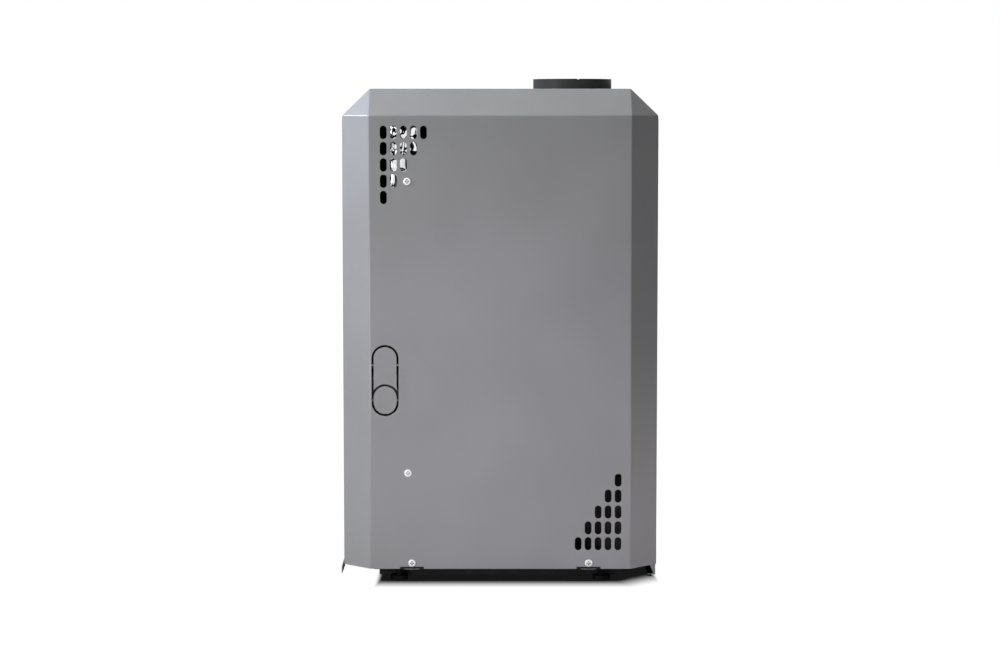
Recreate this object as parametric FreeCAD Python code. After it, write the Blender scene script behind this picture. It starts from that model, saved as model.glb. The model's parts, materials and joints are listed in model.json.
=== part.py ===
import FreeCAD, Part
import math
import os

# A floor-standing gas boiler with an open-flued burner. Sizes are in millimetres.
# The origin is on the floor under the middle of the casing, the front faces -Y, up is +Z.

# Casing
case_width = 400.0
case_depth = 500.0
corner_cut = 44.0
shoulder_height = 736.0
lid_rise = 42.4
lid_skirt = 5.0
cover_floor_gap = 20.0
panel_floor_gap = 3.0
sheet = 1.2
fold_radius = 4.0
seat_gap = 0.3

# Vent slots in the side covers
slot_width = 10.6
slot_length = 20.8
slot_web = 5.15
slot_row_web = 4.6
slot_rows = 5
upper_slot_inset = 23.0
upper_slot_drop = 26.0
lower_slot_inset = 19.6
lower_slot_rise = 40.2

# Gas knock-out in the side covers
knockout_inset = 24.5
knockout_rise = 245.4
knockout_width = 39.4
knockout_height = 109.3
knockout_disc_height = 47.3
knockout_kerf = 3.2
knockout_bridge = 1.8
knockout_upper_bridge_rise = 79.3

# Fasteners
screw_radius = 2.1
screw_play = 0.2
screw_head_radius = 6.0
screw_head_height = 2.4
screw_head_round = 1.4
screw_length = 14.0
recess_width = 2.4
recess_span = 6.4
recess_depth = 2.0
cover_screw_inset = 104.0
cover_screw_drop = 102.5
cover_screw_rise = 153.1
base_screw_inset = 66.0
base_screw_rise = 9.1
notch_width = 38.0
notch_depth = 3.2

# Front posts
post_width = 24.0
post_depth = 14.0
post_sheet = 1.5
post_end = 12.0

# Base frame and feet
base_plate_height = 18.6
base_sheet = 1.5
base_edge_gap = 2.8
base_front_inset = 50.0
plinth_recess = 34.0
plinth_inset = 57.0
plinth_floor_gap = 5.0
tab_width = 36.0
tab_height = 22.0
foot_radius = 14.0
foot_pad = 8.0
foot_stem = 6.0
foot_inset = 45.0
foot_gap = 3.0

# Front door and its hinges
door_depth = 13.0
lip_flare = 5.0
lip_start = 30.0
lip_knee = 14.0
shelf_rise = 6.0
hinge_pin_radius = 2.0
hinge_fit = 0.06
hinge_edge_inset = 8.0
hinge_face_inset = 5.5
hinge_play = 0.3
hinge_pin_reach = 6.0
bracket_sheet = 2.0
bracket_tail = 30.0
bracket_arm = 7.0
swing_gap = 1.1
bracket_gap = 0.8
lid_gap = 1.7
rebate_width = 18.0
magnet_height = 44.0
magnet_width = 12.0
magnet_gap = 0.9

# Rear panel
rear_seat = 2.6
rear_flange = 20.0
rear_edge_gap = 0.4
rear_top_gap = 2.0
rear_hem = 12.0
rear_ear_root = 9.4
rear_ear_tip = 1.8
rear_ear_gap = 0.6
rear_screw_inset = 71.0
rear_screw_drop = 32.0
lid_tab_width = 30.0
lid_tab_overlap = 8.0
rim_depth = 12.0
rim_end_gap = 10.0

# Flue
flue_radius = 64.0
flue_wall = 1.2
flue_rear_space = 132.0
flue_rise = 17.0
flue_stop_depth = 60.0
flue_stop_width = 4.0
flue_stop_height = 3.0
flue_flange_width = 10.0
flue_flange = 2.0
flue_lid_gap = 2.5
flue_notch_width = 3.0
flue_notch_depth = 1.0
flue_notch_offset = 8.0

# Heat exchanger
exchanger_side_space = 60.0
exchanger_front_space = 122.0
exchanger_rear_space = 78.0
exchanger_bottom = 158.0
exchanger_drop = 180.0
shell_wall = 3.0
water_gap = 31.0
firebox_wall = 4.0
firebox_height = 186.0
tube_columns = 3
tube_rows = 4
tube_radius = 21.0
tube_wall = 2.5
strip_width = 30.0
strip_sheet = 1.5
strip_wave = 6.0
strip_waves = 9

# Water connections
socket_radius = 30.0
socket_bore = 20.0
socket_thread_radius = 23.9
socket_thread_length = 24.0
socket_recess = 12.0
socket_panel_gap = 4.0
flow_drop = 46.0
return_rise = 47.0

# Sensor pockets
pocket_radius = 6.0
pocket_bore = 3.6
pocket_length = 96.0
pocket_head_radius = 9.0
pocket_head = 12.0
pocket_crown_gap = 10.0
capillary_radius = 1.2
capillary_bend = 12.0

# Drain cock
drain_inset = 36.0
drain_level = 182.0
drain_radius = 11.0
drain_reach = 50.0
drain_bore = 5.0
drain_stem_radius = 4.0
drain_cap_radius = 6.5
drain_cap = 3.0
drain_stem_reach = 24.0
drain_lever_length = 38.0
drain_lever_width = 10.0
drain_lever_sheet = 4.0
drain_fit = 0.05

# Draught diverter
hood_side_gap = 10.0
hood_front_gap = 10.0
hood_back_gap = 8.0
hood_step = 60.0
hood_height = 140.0
hood_overhang = 12.0
hood_sheet = 1.5
hood_vent_inset = 22.0
baffle_rise = 66.0
baffle_length = 110.0
baffle_rear_space = 100.0

# Insulation
slab_front = 76.0
slab_post_gap = 3.8
slab_pocket_gap = 13.0
slab_top_drop = 14.0
wrap_thickness = 30.0
wrap_bottom_gap = 5.0

# Burner
bar_count = 4
bar_pitch = 52.0
bar_width = 34.0
bar_height = 40.0
bar_bottom = 92.0
bar_wall = 1.2
bar_front_space = 32.0
bar_rear_space = 44.0
bar_slots = 14
bar_slot_width = 3.0
bar_slot_margin = 5.0
mixer_radius = 13.0
mixer_rise = 13.0
support_depth = 16.0
support_sheet = 1.5
front_plate_sheet = 1.5
stand_rear_reach = 28.0
stand_window_width = 110.0
stand_window_height = 70.0
stand_window_rise = 30.0

# Gas line
manifold_size = 22.0
manifold_wall = 2.0
manifold_gap = 19.0
manifold_end = 26.0
injector_radius = 6.0
injector_length = 11.0
nozzle_radius = 3.0
nozzle_length = 5.0
supply_radius = 8.0
supply_wall = 1.5
supply_offset = -30.0
supply_bend = 24.0
valve_width = 110.0
valve_depth = 50.0
valve_height = 50.0
valve_gap = 34.0
valve_edge = 3.0
inlet_radius = 16.0
inlet_reach = 20.0
inlet_thread_radius = 10.5
inlet_thread_length = 18.0
standoff_radius = 5.0
standoff_spread = 35.0

# Gas knob
knob_offset = -22.0
knob_radius = 20.0
knob_length = 20.0
knob_wall = 3.0
knob_edge = 1.5
knob_gap = 8.0
knob_travel = 5.0
spindle_radius = 4.0
spindle_length = 40.0
spindle_fit = 0.05
spindle_end_gap = 3.0

# Sight glass
sight_offset = 78.0
sight_level = 134.0
sight_radius = 11.0
glass_rim = 3.0
glass_thickness = 3.0
sight_cover_sheet = 2.0
sight_cover_gap = 1.5
sight_cover_margin = 3.0
sight_pivot_rise = 20.0
sight_pivot_radius = 2.5
sight_pivot_fit = 0.05
sight_head_radius = 5.0
sight_head = 2.0
sight_arm_width = 9.0

# Pilot group
pilot_level = 134.0
pilot_spread = 16.0
pilot_radius = 5.0
pilot_front = 10.0
pilot_reach = 20.0
pilot_hood_radius = 7.0
pilot_hood = 8.0
thermocouple_radius = 2.5
thermocouple_reach = 28.0
thermocouple_nut_radius = 5.5
thermocouple_nut = 8.0
electrode_radius = 3.5
electrode_front = 16.0
electrode_reach = 16.0
electrode_tip_radius = 1.1
electrode_tip = 10.0
lead_radius = 1.6
pilot_tube_radius = 2.0
pilot_tube_bend = 22.0
pilot_tube_back = 18.0
lead_back = 26.0
cable_radius = 2.5
cable_bend = 18.0

# Control panel, thermometer and igniter
panel_inset = 38.0
panel_height = 120.0
panel_drop = 41.0
panel_forward = 11.4
panel_ear_gap = 4.0
gauge_drop = 96.0
gauge_radius = 25.8
gauge_depth = 28.0
gauge_wall = 1.5
bezel_radius = 29.0
bezel_depth = 3.4
dial_sheet = 1.0
dial_drop = 6.0
gauge_glass = 1.6
gauge_window_margin = 2.0
needle_length = 17.0
needle_tail = 5.0
needle_width = 2.0
needle_sheet = 0.6
needle_hub_radius = 3.0
needle_gap = 0.6
needle_pin_radius = 1.0
needle_rest_angle = 45.0
needle_pin_fit = 0.03
igniter_offset = -72.0
igniter_drop = 130.0
igniter_radius = 9.0
igniter_length = 34.0
igniter_nut_radius = 13.0
igniter_nut = 2.0
button_radius = 6.0
button_fit = 0.06
button_proud = 3.4
button_depth = 12.0
button_travel = 3.0

# Worked out from the sizes above
V = FreeCAD.Vector
ALONG_X = V(1, 0, 0)
ALONG_Y = V(0, 1, 0)
ALONG_Z = V(0, 0, 1)
half_x = case_width / 2
half_y = case_depth / 2
face_x = half_x - corner_cut
face_y = half_y - corner_cut
inner_x = half_x - sheet
lid_top = shoulder_height + lid_rise
seam_level = shoulder_height - lid_skirt
cover_screw_y = cover_screw_inset - half_y
cover_screw_levels = [shoulder_height - cover_screw_drop, cover_floor_gap + cover_screw_rise]
base_screw_level = cover_floor_gap + base_screw_rise
base_screw_y = face_y - base_screw_inset
foot_y = face_y - foot_inset
rear_screw_x = face_x - rear_screw_inset
flue_y = half_y - flue_rear_space
hole_radius = screw_radius + screw_play
base_top = base_plate_height + base_sheet
gas_y = knockout_inset - face_y
gas_level = cover_floor_gap + knockout_rise + knockout_disc_height / 2
door_front = -half_y
door_inner = door_front + sheet
door_back = door_front + door_depth
hinge_corner_front = math.hypot(hinge_edge_inset, hinge_face_inset)
hinge_corner_back = math.hypot(hinge_edge_inset, door_depth - hinge_face_inset)
door_side_gap = hinge_corner_front - hinge_edge_inset + swing_gap
rebate_y = door_front + hinge_face_inset + hinge_corner_back + bracket_sheet + bracket_gap
door_half = face_x - door_side_gap
door_top = shoulder_height - hinge_play - bracket_sheet - lid_gap
shelf_level = lip_start + shelf_rise
hinge_x = hinge_edge_inset - door_half
hinge_y = door_front + hinge_face_inset
rear_y = half_y - rear_seat
rear_face = rear_y + sheet
exchanger_x = half_x - exchanger_side_space
exchanger_front = exchanger_front_space - half_y
exchanger_back = half_y - exchanger_rear_space
exchanger_top = shoulder_height - exchanger_drop
flow_level = exchanger_top - flow_drop
return_level = exchanger_bottom + return_rise
drain_x = exchanger_x - drain_inset
jacket = shell_wall + water_gap
firebox_x = exchanger_x - jacket
firebox_front = exchanger_front + jacket
firebox_back = exchanger_back - jacket
crown_level = exchanger_bottom + firebox_height
plate_top = exchanger_top + firebox_wall
pocket_spread = (firebox_x - firebox_wall) / tube_columns
pocket_level = crown_level + firebox_wall + pocket_crown_gap + pocket_radius
slab_bottom = pocket_level + pocket_head_radius + slab_pocket_gap
baffle_back = half_y - baffle_rear_space
hood_top = plate_top + hood_height
valve_back = exchanger_front - valve_gap
valve_front = valve_back - valve_depth
valve_bottom = gas_level - valve_height / 2
valve_top = gas_level + valve_height / 2
mixer_level = bar_bottom + mixer_rise
manifold_back = exchanger_front - manifold_gap
manifold_front = manifold_back - manifold_size
panel_back = rebate_y + sheet
panel_front = panel_back - panel_forward
panel_top = shoulder_height - panel_drop
panel_half = face_x - panel_inset
gauge_level = shoulder_height - gauge_drop
igniter_level = shoulder_height - igniter_drop
bar_front = exchanger_front + bar_front_space
bar_back = exchanger_back - bar_rear_space
knob_back = valve_front - knob_gap
knob_front = knob_back - knob_length


def box(x0, x1, y0, y1, z0, z1):
    """Block between two corners."""
    return Part.makeBox(x1 - x0, y1 - y0, z1 - z0, V(x0, y0, z0))


def rod(x, y, z, radius, length, axis):
    """Round bar from a point along an axis."""
    return Part.makeCylinder(radius, length, V(x, y, z), axis)


def pipe(x, y, z, outer, inner, length, axis):
    """Round tube from a point along an axis."""
    return rod(x, y, z, outer, length, axis).cut(rod(x, y, z, inner, length, axis))


def join(shapes):
    """One solid out of pieces that meet."""
    return shapes[0].multiFuse(shapes[1:]).removeSplitter()


def drill(shape, cutters):
    """Take several cutters out of a shape at once."""
    return shape.cut(Part.makeCompound(cutters))


def prism(points, sweep):
    """Closed outline swept straight."""
    corners = [V(*point) for point in points]
    return Part.Face(Part.makePolygon(corners + corners[:1])).extrude(sweep)


def sheet_outline(points, thickness):
    """Closed outline of a bent sheet whose material lies to the left of its open line."""
    count = len(points)
    turns = []
    for index in range(count - 1):
        dx = points[index + 1][0] - points[index][0]
        dy = points[index + 1][1] - points[index][1]
        size = math.hypot(dx, dy)
        turns.append((-dy / size, dx / size))
    inner = []
    for index in range(count):
        before = turns[max(index - 1, 0)]
        after = turns[min(index, count - 2)]
        scale = thickness / (1 + before[0] * after[0] + before[1] * after[1])
        x = points[index][0] + (before[0] + after[0]) * scale
        y = points[index][1] + (before[1] + after[1]) * scale
        inner.append((x, y))
    return list(points) + inner[::-1]


def bent_sheet(points, thickness, bottom, top):
    """Sheet bent along upright folds, standing between two levels."""
    outline = sheet_outline(points, thickness)
    return prism([(x, y, bottom) for x, y in outline], V(0, 0, top - bottom))


def round_folds(shape, places, radius):
    """Round the upright edges that stand on the given places."""
    edges = []
    for edge in shape.Edges:
        first = edge.Vertexes[0].Point
        last = edge.Vertexes[-1].Point
        upright = abs(first.x - last.x) < 1e-6 and abs(first.y - last.y) < 1e-6
        if upright and any(math.hypot(first.x - x, first.y - y) < 1e-6 for x, y in places):
            edges.append(edge)
    return shape.makeFillet(radius, edges)


def stadium(y, low, high, width, x, depth):
    """Upright slot with round ends, swept along X."""
    radius = width / 2
    left_low = V(x, y - radius, low + radius)
    left_high = V(x, y - radius, high - radius)
    right_high = V(x, y + radius, high - radius)
    right_low = V(x, y + radius, low + radius)
    edges = [
        Part.LineSegment(left_low, left_high).toShape(),
        Part.Arc(left_high, V(x, y, high), right_high).toShape(),
        Part.LineSegment(right_high, right_low).toShape(),
        Part.Arc(right_low, V(x, y, low), left_low).toShape(),
    ]
    return Part.Face(Part.Wire(edges)).extrude(V(depth, 0, 0))


def bent_rod(points, radius, bend):
    """Rod along straight runs that are joined by arcs of one radius."""
    corners = [V(*point) for point in points]
    edges = []
    start = corners[0]
    for index in range(1, len(corners) - 1):
        corner = corners[index]
        back = (corners[index - 1] - corner).normalize()
        ahead = (corners[index + 1] - corner).normalize()
        half = back.getAngle(ahead) / 2
        reach = bend / math.tan(half)
        entry = corner + back * reach
        leave = corner + ahead * reach
        middle_way = (back + ahead).normalize()
        middle = corner + middle_way * (bend / math.sin(half) - bend)
        edges.append(Part.LineSegment(start, entry).toShape())
        edges.append(Part.Arc(entry, middle, leave).toShape())
        start = leave
    edges.append(Part.LineSegment(start, corners[-1]).toShape())
    ring = Part.Circle(corners[0], corners[1] - corners[0], radius).toShape()
    return Part.Wire(edges).makePipeShell([Part.Wire(ring)], True, False)


def screw(x, y, z, outward):
    """Pan head screw whose head rests on a face, with its shank running inwards."""
    seat = V(x, y, z)
    head = Part.makeCylinder(screw_head_radius, screw_head_height, seat, outward)
    half = screw_head_height / 2
    rim = [edge for edge in head.Edges if edge.Closed and edge.CenterOfMass.sub(seat).dot(outward) > half]
    head = head.makeFillet(screw_head_round, rim)
    shank = Part.makeCylinder(screw_radius, screw_length, seat, outward * -1)
    across = outward.cross(ALONG_Z)
    floor = seat + outward * (screw_head_height - recess_depth)
    blades = []
    for side, up in ((across, ALONG_Z), (ALONG_Z, across)):
        corner = floor - side * (recess_span / 2) - up * (recess_width / 2)
        outline = [corner, corner + side * recess_span]
        outline += [outline[1] + up * recess_width, corner + up * recess_width]
        face = Part.Face(Part.makePolygon(outline + outline[:1]))
        blades.append(face.extrude(outward * screw_head_height))
    return drill(join([head, shank]), blades)


def slot_triangle(first_y, first_level, across, up, row_lengths):
    """Rows of vent slots that start in line, with a count for each row."""
    slots = []
    for row, count in enumerate(row_lengths):
        middle = first_level + up * row * (slot_length + slot_row_web)
        for column in range(count):
            y = first_y + across * column * (slot_width + slot_web)
            low = middle - slot_length / 2
            slots.append(stadium(y, low, low + slot_length, slot_width, inner_x - sheet, 3 * sheet))
    return slots


def knockout_cut():
    """Cut lines of the gas knock-out, held by four small bridges."""
    low = cover_floor_gap + knockout_rise
    start = inner_x - sheet
    depth = 3 * sheet
    half = knockout_kerf / 2
    rings = []
    for height in (knockout_height, knockout_disc_height):
        high = low + height
        outer = stadium(gas_y, low - half, high + half, knockout_width + knockout_kerf, start, depth)
        inner = stadium(gas_y, low + half, high - half, knockout_width - knockout_kerf, start, depth)
        rings.append(outer.cut(inner))
    y0 = gas_y - knockout_width
    y1 = gas_y + knockout_width
    half = knockout_bridge / 2
    bridges = []
    for level in (low + knockout_upper_bridge_rise, gas_level):
        bridges.append(box(start, start + depth, y0, y1, level - half, level + half))
    return drill(join(rings), bridges)


def side_cover():
    """Right side cover: face, corner bevels, door rebate, rear flange, vents, holes and notches."""
    line = [
        (face_x - rebate_width, rebate_y),
        (face_x, rebate_y),
        (face_x, -half_y),
        (half_x, -face_y),
        (half_x, face_y),
        (face_x, half_y),
        (face_x, rear_y),
        (face_x - rear_flange, rear_y),
    ]
    cover = bent_sheet(line, sheet, cover_floor_gap, seam_level)
    outline = sheet_outline(line, sheet)
    last = len(outline) - 1
    cover = round_folds(cover, [outline[3], outline[4]], fold_radius)
    cover = round_folds(cover, [outline[last - 3], outline[last - 4]], fold_radius - sheet)
    cuts = slot_triangle(
        upper_slot_inset - face_y,
        shoulder_height - upper_slot_drop,
        1,
        -1,
        range(slot_rows, 0, -1),
    )
    cuts += slot_triangle(
        face_y - lower_slot_inset,
        cover_floor_gap + lower_slot_rise,
        -1,
        1,
        range(slot_rows, 0, -1),
    )
    for level in cover_screw_levels:
        cuts.append(rod(inner_x - sheet, cover_screw_y, level, hole_radius, 3 * sheet, ALONG_X))
    low = cover_floor_gap - notch_depth
    high = cover_floor_gap + notch_depth
    for y in (-base_screw_y, base_screw_y):
        cuts.append(rod(inner_x - sheet, y, base_screw_level, hole_radius, 3 * sheet, ALONG_X))
        y0 = y - notch_width / 2
        cuts.append(box(inner_x - sheet, half_x + sheet, y0, y0 + notch_width, low, high))
    return drill(cover, cuts)


def outward_face(points, middle):
    """Flat face through points that faces away from a middle."""
    face = Part.Face(Part.makePolygon(points + points[:1]))
    if face.normalAt(0, 0).dot(face.CenterOfMass - middle) > 0:
        return face
    turned = points[::-1]
    return Part.Face(Part.makePolygon(turned + turned[:1]))


def hipped_block(inset):
    """Solid with an eight-sided skirt below the shoulder and bevels up to a flat top."""
    far = {}
    for sx in (1, -1):
        for sy in (1, -1):
            wide = V(sx * (half_x - inset), sy * (face_y - inset), shoulder_height)
            deep = V(sx * (face_x - inset), sy * (half_y - inset), shoulder_height)
            high = V(sx * (face_x - inset), sy * (face_y - inset), lid_top)
            far[sx, sy] = (wide, deep, high)
    around = [far[1, -1], far[1, 1], far[-1, 1], far[-1, -1]]
    ring = []
    for index, (wide, deep, high) in enumerate(around):
        ring += [deep, wide] if index % 2 == 0 else [wide, deep]
    drop = V(0, 0, lid_skirt)
    outlines = [[point - drop for point in ring], [high for wide, deep, high in around]]
    for index, here in enumerate(ring):
        there = ring[(index + 1) % len(ring)]
        outlines.append([here - drop, there - drop, there, here])
    outlines += [list(corner) for corner in around]
    for index, here in enumerate(around):
        there = around[(index + 1) % len(around)]
        side = index % 2
        outlines.append([here[side], there[side], there[2], here[2]])
    middle = V(0, 0, shoulder_height + lid_rise / 2)
    return Part.makeSolid(Part.makeShell([outward_face(points, middle) for points in outlines]))


def top_lid():
    """Hipped lid shell with side skirts, locating rims, rear tabs and flue hole."""
    outer = hipped_block(0)
    folds = [edge for edge in outer.Edges if edge.BoundBox.ZMax > shoulder_height - lid_skirt / 2]
    outer = outer.makeFillet(fold_radius, folds)
    room = box(-half_x, half_x, -half_y, half_y, seam_level, lid_top - sheet)
    shell = outer.cut(hipped_block(sheet * math.sqrt(2)).common(room))
    shell = shell.cut(box(-face_x, face_x, -half_y, half_y, seam_level, shoulder_height))
    rims = []
    root = shoulder_height + 4 * sheet
    rim_length = face_y - rim_end_gap
    for side in (1, -1):
        near = side * (inner_x - seat_gap)
        far = near - side * sheet
        rims.append((min(near, far), max(near, far), -rim_length, rim_length, rim_depth))
        middle = side * rear_screw_x
        drop = rear_screw_drop + lid_tab_overlap
        back = rear_y - seat_gap
        half = lid_tab_width / 2
        rims.append((middle - half, middle + half, back - sheet, back, drop))
    pieces = [shell]
    for x0, x1, y0, y1, depth in rims:
        hanging = box(x0, x1, y0, y1, shoulder_height - depth, shoulder_height)
        rooted = box(x0, x1, y0, y1, shoulder_height, root).common(outer)
        pieces += [hanging, rooted]
    cuts = [rod(0, flue_y, shoulder_height, flue_radius + flue_lid_gap, 2 * lid_rise, ALONG_Z)]
    level = shoulder_height - rear_screw_drop
    for x in (-rear_screw_x, rear_screw_x):
        cuts.append(rod(x, rear_y - 3 * sheet, level, hole_radius, 4 * sheet, ALONG_Y))
    return drill(join(pieces), cuts)


def rear_panel():
    """Flat rear panel with a hem and mitred ears at the floor, and holes for pipes and screws."""
    half = face_x - rear_edge_gap
    high = shoulder_height - rear_top_gap
    plate = box(-half, half, rear_y, rear_face, panel_floor_gap, high)
    hem = box(-half, half, rear_face - rear_hem, rear_face, panel_floor_gap, panel_floor_gap + sheet)
    ear_top = cover_floor_gap - rear_ear_gap
    ears = []
    for x in (-half, half - sheet):
        outline = [
            (x, rear_face, panel_floor_gap),
            (x, rear_face - rear_ear_tip, panel_floor_gap),
            (x, rear_face - rear_ear_root, ear_top),
            (x, rear_face, ear_top),
        ]
        ears.append(prism(outline, ALONG_X * sheet))
    cuts = []
    for level in (flow_level, return_level):
        cuts.append(rod(0, rear_y - sheet, level, socket_radius + socket_panel_gap, 3 * sheet, ALONG_Y))
    for x in (-rear_screw_x, rear_screw_x):
        level = shoulder_height - rear_screw_drop
        cuts.append(rod(x, rear_y - sheet, level, hole_radius, 3 * sheet, ALONG_Y))
    return drill(join([plate, hem] + ears), cuts)


def base_frame():
    """Base plate on a plinth, with upright tabs for the side cover screws."""
    wide = inner_x - base_edge_gap
    deep = half_y - base_front_inset
    plate = box(-wide, wide, -deep, deep, base_plate_height, base_top)
    plinth_x = half_x - plinth_recess
    plinth_y = half_y - plinth_inset
    outside = box(-plinth_x, plinth_x, -plinth_y, plinth_y, plinth_floor_gap, base_plate_height)
    wall = base_sheet
    inside = box(wall - plinth_x, plinth_x - wall, wall - plinth_y, plinth_y - wall, 0, base_plate_height)
    pieces = [plate, outside.cut(inside)]
    cuts = []
    for side in (1, -1):
        for y in (-base_screw_y, base_screw_y):
            y0 = y - tab_width / 2
            y1 = y + tab_width / 2
            x0 = min(side * wide, side * inner_x)
            x1 = max(side * wide, side * inner_x)
            pieces.append(box(x0, x1, y0, y1, base_plate_height, base_top))
            root = side * (inner_x - base_sheet)
            x0 = min(root, side * inner_x)
            x1 = max(root, side * inner_x)
            pieces.append(box(x0, x1, y0, y1, base_plate_height, base_plate_height + tab_height))
            cuts.append(rod(x0 - sheet, y, base_screw_level, hole_radius, base_sheet + 2 * sheet, ALONG_X))
    return drill(join(pieces), cuts)


def feet():
    """Four round feet under the edge of the base plate."""
    spread = half_x - plinth_recess + foot_radius + foot_gap
    low = foot_pad / 2
    group = []
    for x in (spread, -spread):
        for y in (foot_y, -foot_y):
            pad = rod(x, y, 0, foot_radius, foot_pad, ALONG_Z)
            pad = pad.makeFillet(foot_pad / 4, [edge for edge in pad.Edges if edge.Closed])
            stem = rod(x, y, low, foot_stem, base_plate_height - low, ALONG_Z)
            group.append(join([pad, stem]))
    return Part.makeCompound(group)


def front_post():
    """Right channel post behind the side cover, cut back round the base tab."""
    outer = inner_x
    low = cover_screw_y - post_width / 2
    high = cover_screw_y + post_width / 2
    line = [(outer - post_depth, low), (outer, low), (outer, high), (outer - post_depth, high)]
    post = bent_sheet(line, post_sheet, base_top, cover_screw_levels[0] + post_end)
    clear = base_plate_height + tab_height + base_sheet
    cuts = [box(outer - base_sheet - seat_gap, outer, low, high, base_top, clear)]
    for level in cover_screw_levels:
        cuts.append(rod(outer - 2 * post_sheet, cover_screw_y, level, hole_radius, 3 * post_sheet, ALONG_X))
    return drill(post, cuts)


def side_cover_screws():
    """Screws of both side covers."""
    group = []
    for side in (1, -1):
        outward = ALONG_X * side
        for level in cover_screw_levels:
            group.append(screw(side * half_x, cover_screw_y, level, outward))
        for y in (-base_screw_y, base_screw_y):
            group.append(screw(side * half_x, y, base_screw_level, outward))
    return Part.makeCompound(group)


def rear_panel_screws():
    """Screws through the rear panel into the lid's tabs."""
    level = shoulder_height - rear_screw_drop
    group = [screw(x, rear_face, level, ALONG_Y) for x in (-rear_screw_x, rear_screw_x)]
    return Part.makeCompound(group)


def front_door():
    """Door skin with a flared lower lip, edge flanges, hinge shelf and gauge window."""
    line = [
        (door_front, shelf_level),
        (door_front, lip_start),
        (door_front - lip_flare, lip_knee),
        (door_front - lip_flare, panel_floor_gap),
    ]
    outline = [(hinge_x, y, z) for y, z in sheet_outline(line, sheet)]
    pieces = [prism(outline, V(-2 * hinge_x, 0, 0))]
    pieces.append(box(-door_half, door_half, door_front, door_inner, lip_start, door_top))
    pieces.append(box(-door_half, sheet - door_half, door_front, door_back, shelf_level, door_top))
    pieces.append(box(door_half - sheet, door_half, door_front, door_back, shelf_level, door_top))
    pieces.append(box(-door_half, door_half, door_front, door_back, door_top - sheet, door_top))
    pieces.append(box(-door_half, door_half, door_front, door_back, shelf_level, shelf_level + sheet))
    bore = hinge_pin_radius + hinge_fit
    cuts = [rod(0, door_front - sheet, gauge_level, bezel_radius + gauge_window_margin, 3 * sheet, ALONG_Y)]
    for level in (shelf_level, door_top - sheet):
        cuts.append(rod(hinge_x, hinge_y, level - sheet, bore, 3 * sheet, ALONG_Z))
    return drill(join(pieces), cuts)


def door_hinge_brackets():
    """Two brackets on the left door rebate, whose noses hold the hinge pins inside the door's swing."""
    x0 = hinge_x
    x1 = hinge_x + bracket_arm
    nose_radius = hinge_face_inset - sheet - seat_gap
    upper = door_top + hinge_play
    lower = shelf_level - hinge_play - bracket_sheet
    group = []
    for level, tail_low in ((upper, upper - bracket_tail), (lower, lower)):
        plate = box(x0, x1, hinge_y, rebate_y, level, level + bracket_sheet)
        nose = rod(hinge_x, hinge_y, level, nose_radius, bracket_sheet, ALONG_Z)
        tail_high = tail_low + bracket_tail + bracket_sheet
        tail = box(x0, x1, rebate_y - bracket_sheet, rebate_y, tail_low, tail_high)
        hole = rod(hinge_x, hinge_y, level, hinge_pin_radius, bracket_sheet, ALONG_Z)
        group.append(join([plate, nose, tail]).cut(hole))
    return Part.makeCompound(group)


def door_hinge_pins():
    """Two pins fixed in the brackets, one through each end of the door."""
    low = shelf_level - hinge_play - bracket_sheet
    low_length = bracket_sheet + hinge_play + sheet + hinge_pin_reach
    high = door_top - sheet - hinge_pin_reach
    high_length = hinge_pin_reach + sheet + hinge_play + bracket_sheet
    lower = rod(hinge_x, hinge_y, low, hinge_pin_radius, low_length, ALONG_Z)
    upper = rod(hinge_x, hinge_y, high, hinge_pin_radius, high_length, ALONG_Z)
    return Part.makeCompound([lower, upper])


def door_magnet():
    """Magnet catch on the right door rebate, just behind the door skin."""
    x0 = door_half - sheet - magnet_gap - magnet_width
    low = (shelf_level + door_top - magnet_height) / 2
    block = box(x0, x0 + magnet_width, door_inner + seat_gap, rebate_y, low, low + magnet_height)
    front = [edge for edge in block.Edges if edge.BoundBox.YMax < door_inner + 2 * seat_gap]
    return block.makeFillet(sheet, front)


def flue_socket():
    """Round flue socket on the draught diverter, with a flange, a pipe stop and a notched rim."""
    top = lid_top + flue_rise
    inner = flue_radius - flue_wall
    tube = pipe(0, flue_y, hood_top, flue_radius, inner, top - hood_top, ALONG_Z)
    flange = pipe(0, flue_y, hood_top, flue_radius + flue_flange_width, inner, flue_flange, ALONG_Z)
    ledge = inner - flue_stop_width
    stop = pipe(0, flue_y, top - flue_stop_depth, inner, ledge, flue_stop_height, ALONG_Z)
    middle = flue_y + flue_notch_offset
    notch = box(
        0,
        flue_radius * 2,
        middle - flue_notch_width / 2,
        middle + flue_notch_width / 2,
        top - flue_notch_depth,
        top + flue_notch_depth,
    )
    return join([tube, flange, stop]).cut(notch)


def hood_room(inset):
    """Inside or outside of the draught diverter, by how far its walls are inset."""
    x = exchanger_x - hood_side_gap - inset
    y0 = exchanger_front + hood_front_gap + inset
    low_y1 = exchanger_back - hood_back_gap - inset
    high_y1 = flue_y + flue_radius + hood_overhang - inset
    step = plate_top + hood_step + inset
    lower = box(-x, x, y0, low_y1, plate_top, step)
    upper = box(-x, x, y0, high_y1, step, hood_top - inset)
    return join([lower, upper])


def draught_diverter():
    """Sheet hood over the exchanger, open below and under its rear overhang."""
    hood = hood_room(0).cut(hood_room(hood_sheet))
    x = exchanger_x - hood_side_gap - hood_vent_inset
    y0 = exchanger_back - hood_back_gap + hood_sheet
    y1 = flue_y + flue_radius + hood_overhang - 2 * hood_sheet
    step = plate_top + hood_step
    vent = box(-x, x, y0, y1, step - hood_sheet, step + 2 * hood_sheet)
    outlet = rod(0, flue_y, hood_top - 2 * hood_sheet, flue_radius - flue_wall, 4 * hood_sheet, ALONG_Z)
    return drill(hood, [vent, outlet])


def diverter_baffle():
    """Plate across the diverter, under the flue."""
    x = exchanger_x - hood_side_gap - hood_sheet
    level = plate_top + baffle_rise
    return box(-x, x, baffle_back - baffle_length, baffle_back, level, level + hood_sheet)


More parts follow.
